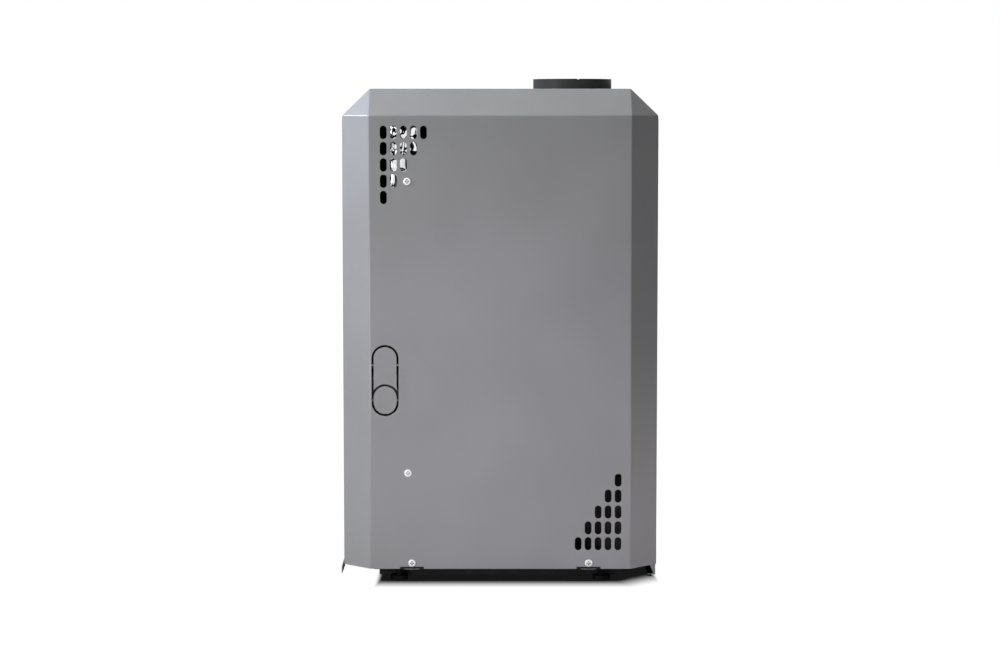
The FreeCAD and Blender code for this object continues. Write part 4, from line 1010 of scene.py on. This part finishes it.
@dataclass
class Insulation(Assembly):
    """Foil-faced slab behind the control panel and wool blanket round the exchanger."""

    step: float = 0.002
    facet: float = 0.014
    tilt: float = 0.20
    facet_levels: Limits = (0.2, 0.8)
    fold_width: float = 0.006
    crumple: float = 0.0036
    crumple_least: float = 0.0002
    edge_round: float = 0.0015
    edge_reach: float = 2.5
    foil_smooth: float = 75.0
    wool_voxel: float = 0.005
    wool_soften: float = 0.5
    wool_rounds: int = 4
    wool_lumps: float = 0.0022
    wool_waves: int = 14
    wave_rate: float = 90.0
    wave_gain: float = 2.5
    wool_smooth: float = 60.0
    seed: int = 17

    def build(self) -> None:
        """Builds the slab and the blanket in the space of their CAD solids."""
        slab = self.foil_slab()
        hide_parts("insulation_front")
        blanket = self.wool_blanket()
        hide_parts("insulation_wrap")

    def foil_slab(self) -> bpy.types.Object:
        """A box of small faces, rounded at its edges and crumpled inwards in facets.

        Returns:
            The slab.
        """
        low, high = [np.array(corner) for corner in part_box("insulation_front")]
        spot, normal, faces = self.box_grid(low, high)
        depth = self.edge_depth(spot, low, high) + self.facet_depth(spot)
        mesh = bpy.data.meshes.new("foil_slab")
        mesh.from_pydata((spot - normal * depth[:, None]).tolist(), [], faces)
        return place_piece(mesh, FOIL, Body.CASING, self.foil_smooth)

    def box_grid(
        self, low: np.ndarray, high: np.ndarray
    ) -> tuple[np.ndarray, np.ndarray, list[list[int]]]:
        """Closed box whose faces are divided into small squares.

        Args:
            low: Lowest corner.
            high: Highest corner.

        Returns:
            Places, outward directions and faces.
        """
        count = np.maximum(2, np.round((high - low) / self.step)).astype(int)
        numbers: dict[tuple[int, int, int], int] = {}
        faces: list[list[int]] = []
        for axis in range(3):
            u, v = (axis + 1) % 3, (axis + 2) % 3
            for end in (0, int(count[axis])):
                for i in range(int(count[u])):
                    for j in range(int(count[v])):
                        face = []
                        for a, b in ((i, j), (i + 1, j), (i + 1, j + 1), (i, j + 1)):
                            key = [0, 0, 0]
                            key[axis], key[u], key[v] = end, a, b
                            face.append(numbers.setdefault(tuple(key), len(numbers)))
                        faces.append(face if end else face[::-1])
        keys = np.array(list(numbers), dtype=float)
        spot = low + keys / count * (high - low)
        normal = (keys == count).astype(float) - (keys == 0).astype(float)
        normal /= np.linalg.norm(normal, axis=1)[:, None]
        return spot, normal, faces

    def edge_depth(self, spot: np.ndarray, low: np.ndarray, high: np.ndarray) -> np.ndarray:
        """How far each point draws in because it is near an edge of the slab.

        Args:
            spot: Places on the box.
            low: Lowest corner of the box.
            high: Highest corner of the box.

        Returns:
            A depth for each place.
        """
        reach = np.sort(np.minimum(spot - low, high - spot), axis=1)[:, 1]
        near = np.clip(1 - reach / (self.edge_reach * self.edge_round), 0, 1)
        return self.edge_round * near**2

    def facet_depth(self, spot: np.ndarray) -> np.ndarray:
        """How far each point draws in because the foil is crumpled.

        Args:
            spot: Places on the box.

        Returns:
            A depth for each place.
        """
        chance = np.random.default_rng(self.seed)
        count = int(len(spot) * (self.step / self.facet) ** 2)
        chosen = spot[chance.choice(len(spot), count, replace=False)]
        slope = chance.uniform(-self.tilt, self.tilt, (count, 3))
        level = chance.uniform(*self.facet_levels, count) * self.crumple
        tree = KDTree(count)
        for number, place in enumerate(chosen):
            tree.insert(place, number)
        tree.balance()
        pairs = [tree.find_n(place, 2) for place in spot]
        cell = np.array([[found[1] for found in pair] for pair in pairs])
        reach = np.array([[found[2] for found in pair] for pair in pairs])
        flat = level[cell] + np.einsum("nkd,nkd->nk", slope[cell], spot[:, None, :] - chosen[cell])
        lean = np.clip((reach[:, 1] - reach[:, 0]) / self.fold_width, 0, 1)
        share = 0.5 + 0.5 * lean * lean * (3 - 2 * lean)
        folded = share * flat[:, 0] + (1 - share) * flat[:, 1]
        return np.clip(folded, self.crumple_least, self.crumple)

    def wool_blanket(self) -> bpy.types.Object:
        """The blanket's CAD shape with soft edges and a lumpy surface.

        Returns:
            The blanket.
        """
        solid = frame["nodes"]["insulation_wrap"]
        rough = bpy.data.objects.new("blanket", solid.data.copy())
        bpy.context.scene.collection.objects.link(rough)
        remesh = rough.modifiers.new("even", "REMESH")
        remesh.mode = "VOXEL"
        remesh.voxel_size = self.wool_voxel
        soften = rough.modifiers.new("soft", "SMOOTH")
        soften.factor = self.wool_soften
        soften.iterations = self.wool_rounds
        mesh = settled_mesh(rough)
        bpy.data.objects.remove(rough)
        mesh.name = "wool_blanket"
        chance = np.random.default_rng(self.seed)
        waves = chance.normal(0, 1, (self.wool_waves, 3)) * self.wave_rate
        shift = chance.uniform(0, 2 * math.pi, self.wool_waves)
        spot = np.empty(3 * len(mesh.vertices))
        normal = np.empty(3 * len(mesh.vertices))
        mesh.vertices.foreach_get("co", spot)
        mesh.vertices.foreach_get("normal", normal)
        swell = np.sin(spot.reshape(-1, 3) @ waves.T + shift).mean(axis=1)
        depth = self.wool_lumps * (0.5 + 0.5 * np.tanh(self.wave_gain * swell))
        mesh.vertices.foreach_set("co", spot - normal * np.repeat(depth, 3))
        return place_piece(mesh, WOOL, Body.CASING, self.wool_smooth)


@dataclass
class Exchanger(Assembly):
    """Steel heat exchanger with its sockets, pockets, sensor leads and drain cock."""

    coats: ClassVar[Coats] = {
        BOILER_STEEL: (
            "exchanger_shell", "exchanger_top_plate", "firebox", "exchanger_bottom_ring", "fire_tubes",
            "flow_socket", "return_socket", "right_stand_plate", "left_stand_plate",
        ),
        BURNER_STEEL: ("turbulators",),
        BRASS: ("sensor_pockets", "drain_cock"),
        COPPER: ("thermostat_capillary", "thermometer_capillary"),
        RED_PLASTIC: ("drain_lever",),
    }


@dataclass
class BurnerGroup(Assembly):
    """Burner bars with their supports, pilot group, sight glass and its cover."""

    coats: ClassVar[Coats] = {
        BURNER_STEEL: ("burner_bars", "thermocouple"),
        ZINC_SHEET: (
            "burner_rear_support", "burner_front_plate", "gas_manifold", "sight_cover",
            "sight_cover_pivot",
        ),
        BRASS: ("injectors", "pilot_burner"),
        COPPER: ("pilot_tube",),
        GLASS: ("sight_glass",),
        CERAMIC: ("ignition_electrode",),
        SLEEVE: ("ignition_cable",),
    }


@dataclass
class GasControl(Assembly):
    """Gas valve on its stand-offs with a ribbed knob, and the supply pipe's union nut."""

    coats: ClassVar[Coats] = {
        CAST_ALLOY: ("gas_valve_body",),
        ZINC_SHEET: ("valve_standoffs",),
        ZINC_SCREW: ("gas_spindle",),
        BLACK_PLASTIC: ("gas_knob",),
        COPPER: ("gas_supply_pipe",),
    }

    rib_count: int = 28
    rib_width: float = 0.0016
    rib_height: float = 0.0009
    rib_inset: float = 0.0030
    rib_root: float = 0.0002
    rib_outline: tuple[tuple[float, float], ...] = (
        (-1.0, 0.0), (-0.8, 0.7), (-0.3, 1.0), (0.3, 1.0), (0.8, 0.7), (1.0, 0.0),
    )
    pointer_width: float = 0.0024
    pointer_height: float = 0.0005
    pointer_foot: float = 0.25
    pointer_shoulder: float = 0.86
    pointer_tip: float = 0.91
    nut_flats: float = 0.024
    nut_height: float = 0.011
    nut_edge: float = 0.0016
    nut_sides: int = 48
    nut_smooth: float = 25.0
    knob_low: Vector = field(init=False)
    knob_high: Vector = field(init=False)
    knob_middle: Vector = field(init=False)
    knob_radius: float = field(init=False)

    def __post_init__(self) -> None:
        """Finds the knob."""
        self.knob_low, self.knob_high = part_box("gas_knob")
        self.knob_middle = (self.knob_low + self.knob_high) / 2
        self.knob_radius = (self.knob_high.x - self.knob_low.x) / 2

    def build(self) -> None:
        """Builds the knob's ribs and pointer and the union nut under the valve."""
        self.knob_ribs()
        self.knob_pointer()
        self.union_nut()

    def knob_ribs(self) -> None:
        """Rounded grip ribs round the knob."""
        length = self.knob_high.y - self.knob_low.y - 2 * self.rib_inset
        sketch = Sketch()
        for i in range(self.rib_count):
            turn = 2 * math.pi * i / self.rib_count
            out = Vector((math.sin(turn), 0, math.cos(turn)))
            side = Vector((math.cos(turn), 0, -math.sin(turn))) * (self.rib_width / 2)
            rise = out * self.rib_height
            foot = self.knob_middle + out * (self.knob_radius - self.rib_root)
            foot.y = self.knob_low.y + self.rib_inset
            outline = [foot + side * across + rise * up for across, up in self.rib_outline]
            sketch.plate(outline, (0, length, 0))
        place_piece(sketch.mesh("knob_ribs"), BLACK_PLASTIC, Body.KNOB)

    def knob_pointer(self) -> None:
        """White pointer line on the knob's face."""
        x, y, z = self.knob_middle.x, self.knob_low.y, self.knob_middle.z
        half = self.pointer_width / 2
        foot = z + self.pointer_foot * self.knob_radius
        shoulder = z + self.pointer_shoulder * self.knob_radius
        tip = z + self.pointer_tip * self.knob_radius
        outline = [
            (x - half, y, foot),
            (x + half, y, foot),
            (x + half, y, shoulder),
            (x, y, tip),
            (x - half, y, shoulder),
        ]
        sketch = Sketch()
        sketch.plate(outline, (0, -self.pointer_height, 0))
        place_piece(sketch.mesh("knob_pointer"), CERAMIC, Body.KNOB)

    def union_nut(self) -> None:
        """Brass union nut where the supply pipe meets the valve."""
        low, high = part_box("gas_supply_pipe")
        bore = (high.x - low.x) / 2
        x, y, top = low.x + bore, low.y + bore, high.z
        narrow, wide = self.nut_flats / 2, self.nut_flats / math.sqrt(3)
        levels = [
            (bore, -self.nut_height),
            (narrow, -self.nut_height),
            (wide, self.nut_edge - self.nut_height),
            (wide, -self.nut_edge),
            (narrow, 0.0),
            (bore, 0.0),
        ]
        sketch = Sketch()
        loops = []
        for radius, level in levels:
            ring = []
            for i in range(self.nut_sides):
                turn = 2 * math.pi * i / self.nut_sides
                flat = narrow / math.cos((turn + math.pi / 6) % (math.pi / 3) - math.pi / 6)
                reach = min(radius, flat)
                ring.append((x + reach * math.cos(turn), y + reach * math.sin(turn), top + level))
            loops.append(sketch.loop(ring))
        sketch.skin(loops, closed=True)
        place_piece(sketch.mesh("gas_union_nut"), BRASS, Body.CASING, self.nut_smooth)


@dataclass
class ControlPanel(Assembly):
    """Panel with a round thermometer and an igniter."""

    coats: ClassVar[Coats] = {
        ZINC_SHEET: ("control_panel",),
        BLACK_PLASTIC: ("thermometer_case", "igniter_body"),
        GLASS: ("thermometer_glass",),
        NEEDLE_PAINT: ("thermometer_needle",),
        RED_PLASTIC: ("igniter_button",),
    }

    dial_behind_glass: float = 0.006
    card_thickness: float = 0.00015
    card_margin: float = 0.0006
    card_bevel: float = 0.0002
    card_hole: float = 0.0013
    card_sides: int = 96
    ink_thickness: float = 0.00008
    ink_smooth: float = 0.0
    scale_start: float = 225.0
    scale_sweep: float = 270.0
    scale_top: int = 120
    scale_step: int = 20
    fine_step: int = 4
    numeral_height: float = 0.0042
    numeral_radius: float = 0.0128
    tick_outer: float = 0.0215
    tick_long: float = 0.0042
    tick_short: float = 0.0022
    tick_half_long: float = 0.00045
    tick_half_short: float = 0.00022
    zone_from: int = 100
    zone_steps: int = 12
    zone_inner: float = 0.0004
    zone_outer: float = 0.0016
    middle: Vector = field(init=False)
    face: Vector = field(init=False)
    reach: float = field(init=False)
    ink: Vector = field(init=False)

    def __post_init__(self) -> None:
        """Finds the dial behind the thermometer's glass, and how far the ink stands out."""
        low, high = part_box("thermometer_glass")
        y = high.y + self.dial_behind_glass
        self.middle = Vector(((low.x + high.x) / 2, y, (low.z + high.z) / 2))
        self.face = self.middle - Vector((0, self.card_thickness, 0))
        self.reach = (high.x - low.x) / 2
        self.ink = Vector((0, -self.ink_thickness, 0))

    def build(self) -> None:
        """Builds the dial's card, its ink scale and its red zone."""
        self.dial_card()
        self.dial_scale()
        self.hot_zone()

    def direction(self, reading: float) -> Vector:
        """Direction from the dial's middle to a reading on the scale.

        Args:
            reading: A temperature from 0 to the top of the scale.

        Returns:
            A unit vector in the dial's plane.
        """
        turn = math.radians(self.scale_start + self.scale_sweep * reading / self.scale_top)
        return Vector((math.sin(turn), 0, math.cos(turn)))

    def dial_card(self) -> None:
        """White card on the dial plate, with a hole for the needle's pin."""
        outer, front = self.reach - self.card_margin, -self.card_thickness
        profile = [
            (self.card_hole, 0.0),
            (self.card_hole, front),
            (outer - self.card_bevel, front),
            (outer, front / 2),
            (outer, 0.0),
        ]
        sketch = Sketch()
        sketch.turned(self.middle, profile, self.card_sides)
        place_piece(sketch.mesh("dial_card"), DIAL_CARD, Body.CASING)

    def dial_scale(self) -> None:
        """Ticks and numerals of the scale."""
        sketch = Sketch()
        for reading in range(0, self.scale_top + 1, self.fine_step):
            main = reading % self.scale_step == 0
            out = self.direction(reading)
            side = Vector((out.z, 0, -out.x)) * (self.tick_half_long if main else self.tick_half_short)
            inner = self.tick_outer - (self.tick_long if main else self.tick_short)
            near, far = self.face + out * inner, self.face + out * self.tick_outer
            sketch.plate([near - side, near + side, far + side, far - side], self.ink)
        for reading in range(0, self.scale_top + 1, self.scale_step):
            middle = self.face + self.direction(reading) * self.numeral_radius + self.ink / 2
            sketch.numerals(str(reading), self.numeral_height, middle, self.ink_thickness)
        mesh = sketch.mesh("dial_scale")
        place_piece(mesh, DIAL_INK, Body.CASING, self.ink_smooth)

    def hot_zone(self) -> None:
        """Red band outside the hot end of the scale."""
        sketch = Sketch()
        readings = np.linspace(self.zone_from, self.scale_top, self.zone_steps + 1)
        rays = [self.direction(reading) for reading in readings]
        inner = [self.face + ray * (self.tick_outer + self.zone_inner) for ray in rays]
        outer = [self.face + ray * (self.tick_outer + self.zone_outer) for ray in rays]
        for i in range(self.zone_steps):
            sketch.plate([inner[i], inner[i + 1], outer[i + 1], outer[i]], self.ink)
        mesh = sketch.mesh("dial_hot_zone")
        place_piece(mesh, NEEDLE_PAINT, Body.CASING, self.ink_smooth)


# Studio


@dataclass(frozen=True)
class Lamp:
    """A soft box: where it stands, what it points at, its size, power, colour and beam."""

    name: str
    place: Spot
    target: Spot
    width: float
    height: float
    power: float
    colour: Colour
    beam: float = 180.0

    def hang(self) -> None:
        """Adds the lamp to the scene."""
        light = bpy.data.lights.new(self.name, "AREA")
        light.shape = "RECTANGLE"
        light.size = self.width
        light.size_y = self.height
        light.energy = self.power
        light.color = self.colour
        light.spread = math.radians(self.beam)
        lamp = bpy.data.objects.new(self.name, light)
        bpy.context.scene.collection.objects.link(lamp)
        lamp.location = self.place
        lamp.rotation_mode = "QUATERNION"
        lamp.rotation_quaternion = (Vector(self.target) - Vector(self.place)).to_track_quat("-Z", "Y")


@dataclass
class Studio:
    """White floor, soft light and the camera at the photograph's viewing angle."""

    floor_rings: tuple[float, ...] = (0.3, 1.0, 3.0, 10.0, 30.0)
    floor_sides: int = 64
    floor_grey: Colour = (0.60, 0.60, 0.60)
    floor_glow: float = 1.04
    # Faint glow of the painted shadow on the floor.
    shadow_glow: float = 0.009
    clear_from: float = 0.55
    clear_to: float = 1.10
    contact_reach: float = 0.06
    dark_below: float = 0.46
    white_above: float = 0.86
    # Footprint of the painted shadow, with its cut corners, soft edges and ends.
    half_width: float = 0.200
    half_depth: float = 0.250
    corner_cut: float = 0.064
    penumbra_inside: float = 0.012
    penumbra_outside: float = 0.064
    shadow_front: float = -0.199
    shadow_rear: float = 0.252
    shadow_fade: float = 0.010
    shadow_end: float = 0.96
    ambient: Colour = (0.02, 0.02, 0.02)
    lens: float = 90.0
    sensor: float = 36.0
    sight_end: float = 200.0
    camera_place: Spot = (4.118, -0.0004, 0.736)
    camera_pitch: float = 4.98
    lamps: tuple[Lamp, ...] = (
        Lamp("side_softbox", (1.4, -0.95, 0.25), (0.15, 0.0, 0.30), 0.5, 0.5, 4.4, (0.99, 1.02, 0.99)),
        Lamp("side_pool", (1.9, -0.75, 0.25), (0.2, 0.04, 0.30), 0.4, 0.4, 0.33, (1.02, 0.94, 1.04), 32.0),
        Lamp("front_softbox", (0.62, -1.75, 1.30), (0.0, 0.0, 0.45), 1.1, 1.3, 11.9, (0.97, 0.98, 1.05)),
        Lamp(
            "front_kicker", (-0.15, -1.7, 1.65), (0.17, -0.22, 0.80), 0.3, 0.4, 0.46, (0.84, 0.97, 1.22), 24.0
        ),
        Lamp("shoulder_softbox", (0.9, -1.0, 1.9), (0.1, -0.1, 0.7), 0.6, 0.6, 13.4, (1.01, 1.03, 0.96)),
        Lamp("ceiling_softbox", (0.5, 0.1, 2.6), (0.0, 0.0, 0.5), 1.6, 1.6, 7.3, (1.02, 1.03, 0.95)),
        Lamp("rear_fill", (0.75, 1.1, 0.10), (0.18, 0.23, 0.08), 0.3, 0.2, 0.08, (1.05, 0.95, 1.0), 30.0),
        Lamp("left_softbox", (-1.5, 1.5, 0.28), (0.0, 0.0, 0.38), 0.9, 0.4, 15.0, (1.0, 1.0, 1.0)),
    )

    def build(self) -> None:
        """Builds the whole studio."""
        self.floor()
        self.world()
        for lamp in self.lamps:
            lamp.hang()
        self.camera()

    def seen(self, graph: Graph) -> Signal:
        """1 for rays that show the background, straight or by gloss or through glass, else 0."""
        path = graph.node("ShaderNodeLightPath", out="Is Camera Ray")
        return path | path.twin("Is Glossy Ray") | path.twin("Is Transmission Ray")

    def floor(self) -> None:
        """White floor with a painted shadow near the object."""
        sketch = Sketch()
        turns = [2 * math.pi * i / self.floor_sides for i in range(self.floor_sides)]
        loops = []
        for radius in self.floor_rings:
            ring = [(radius * math.cos(turn), radius * math.sin(turn), 0.0) for turn in turns]
            loops.append(sketch.loop(ring))
        sketch.skin(loops)
        sketch.faces.append(loops[0])
        mesh = bpy.data.meshes.new("studio_floor")
        mesh.from_pydata(sketch.corners, [], sketch.faces)
        mesh.materials.append(self.floor_material())
        floor = bpy.data.objects.new("studio_floor", mesh)
        bpy.context.scene.collection.objects.link(floor)

    def floor_material(self) -> bpy.types.Material:
        """White where it is seen in the open, a painted shadow under the casing, and grey for the lamps.

        Returns:
            The floor's material.
        """
        material = bpy.data.materials.new("white_floor")
        material.use_nodes = True
        graph = Graph(material.node_tree)
        here = graph.place()
        distance = graph.node("ShaderNodeVectorMath", {"operation": "LENGTH"}, {0: here}, "Value")
        along = graph.node("ShaderNodeSeparateXYZ", None, {0: here}, "Y")
        # Painted shadow: the floor that camera, gloss and glass rays see is an emission, dark near contact
        # and inside the casing's footprint, white elsewhere.
        painted_contact_shade = graph.spread(graph.open_sky(self.contact_reach), self.dark_below, self.white_above)
        below = graph.spread(self.outside(graph, here), -self.penumbra_inside, self.penumbra_outside)
        clear = graph.spread(distance, self.clear_from, self.clear_to)
        # The front and rear masks end the painted shadow with white floor.
        front = graph.spread(along, self.shadow_front + self.shadow_fade, self.shadow_front)
        rear = graph.spread(along, self.shadow_rear - self.shadow_fade, self.shadow_rear)
        share = (painted_contact_shade & below) | clear | self.shadow_end * front | self.shadow_end * rear
        lit = graph.node("ShaderNodeBsdfDiffuse", None, {"Color": self.floor_grey})
        dark = graph.node("ShaderNodeEmission", None, {"Color": WHITE, "Strength": self.shadow_glow})
        white = graph.node("ShaderNodeEmission", None, {"Color": WHITE, "Strength": self.floor_glow})
        shown = graph.node("ShaderNodeMixShader", None, {0: share, 1: dark, 2: white})
        mixed = graph.node("ShaderNodeMixShader", None, {0: self.seen(graph), 1: lit, 2: shown})
        graph.node("ShaderNodeOutputMaterial", None, {"Surface": mixed})
        return material

    def outside(self, graph: Graph, here: Signal) -> Signal:
        """How far a place on the floor lies outside the casing's footprint.

        Args:
            graph: The floor's nodes.
            here: The place.

        Returns:
            A distance in metres; it is below 0 under the casing.
        """
        mirrored = graph.node("ShaderNodeVectorMath", {"operation": "ABSOLUTE"}, {0: here})
        x = graph.node("ShaderNodeSeparateXYZ", None, {0: mirrored}, "X")
        y = x.twin("Y")
        corner = (x + y - (self.half_width + self.half_depth - self.corner_cut)) * math.sqrt(0.5)
        return (x - self.half_width) | (y - self.half_depth) | corner

    def world(self) -> None:
        """White surroundings for what is seen, and a plain grey light for the rest."""
        world = bpy.data.worlds.new("studio")
        bpy.context.scene.world = world
        world.use_nodes = True
        graph = Graph(world.node_tree)
        grey = graph.node("ShaderNodeBackground", None, {"Color": self.ambient, "Strength": 1.0})
        white = graph.node("ShaderNodeBackground", None, {"Color": WHITE, "Strength": 1.0})
        mixed = graph.node("ShaderNodeMixShader", None, {0: self.seen(graph), 1: grey, 2: white})
        graph.node("ShaderNodeOutputWorld", None, {"Surface": mixed})

    def camera(self) -> None:
        """Camera that faces the right side cover from near the lid's height, tilted down a little."""
        lens = bpy.data.cameras.new("camera")
        lens.lens = self.lens
        lens.sensor_width = self.sensor
        lens.clip_end = self.sight_end
        camera = bpy.data.objects.new("camera", lens)
        bpy.context.scene.collection.objects.link(camera)
        pitch = math.radians(self.camera_pitch)
        view = Vector((-math.cos(pitch), 0, -math.sin(pitch)))
        camera.location = self.camera_place
        camera.rotation_mode = "QUATERNION"
        camera.rotation_quaternion = view.to_track_quat("-Z", "Y")
        bpy.context.scene.camera = camera


def write_sizes() -> None:
    """Brings the scene's placements up to date."""
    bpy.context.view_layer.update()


def main() -> None:
    """Builds the studio, then each sub-assembly in order."""
    logging.basicConfig(level=logging.INFO, format="%(name)s: %(message)s")
    bpy.context.scene.view_settings.view_transform = "Standard"
    Studio().build()
    groups: Sequence[Assembly] = (
        Casing(),
        BaseAndFlue(),
        Insulation(),
        Exchanger(),
        BurnerGroup(),
        GasControl(),
        ControlPanel(),
    )
    for group in groups:
        group.build()
        group.dress()
        LOG.info("finished %s", type(group).__name__)
    write_sizes()


if __name__ == "__main__":
    main()
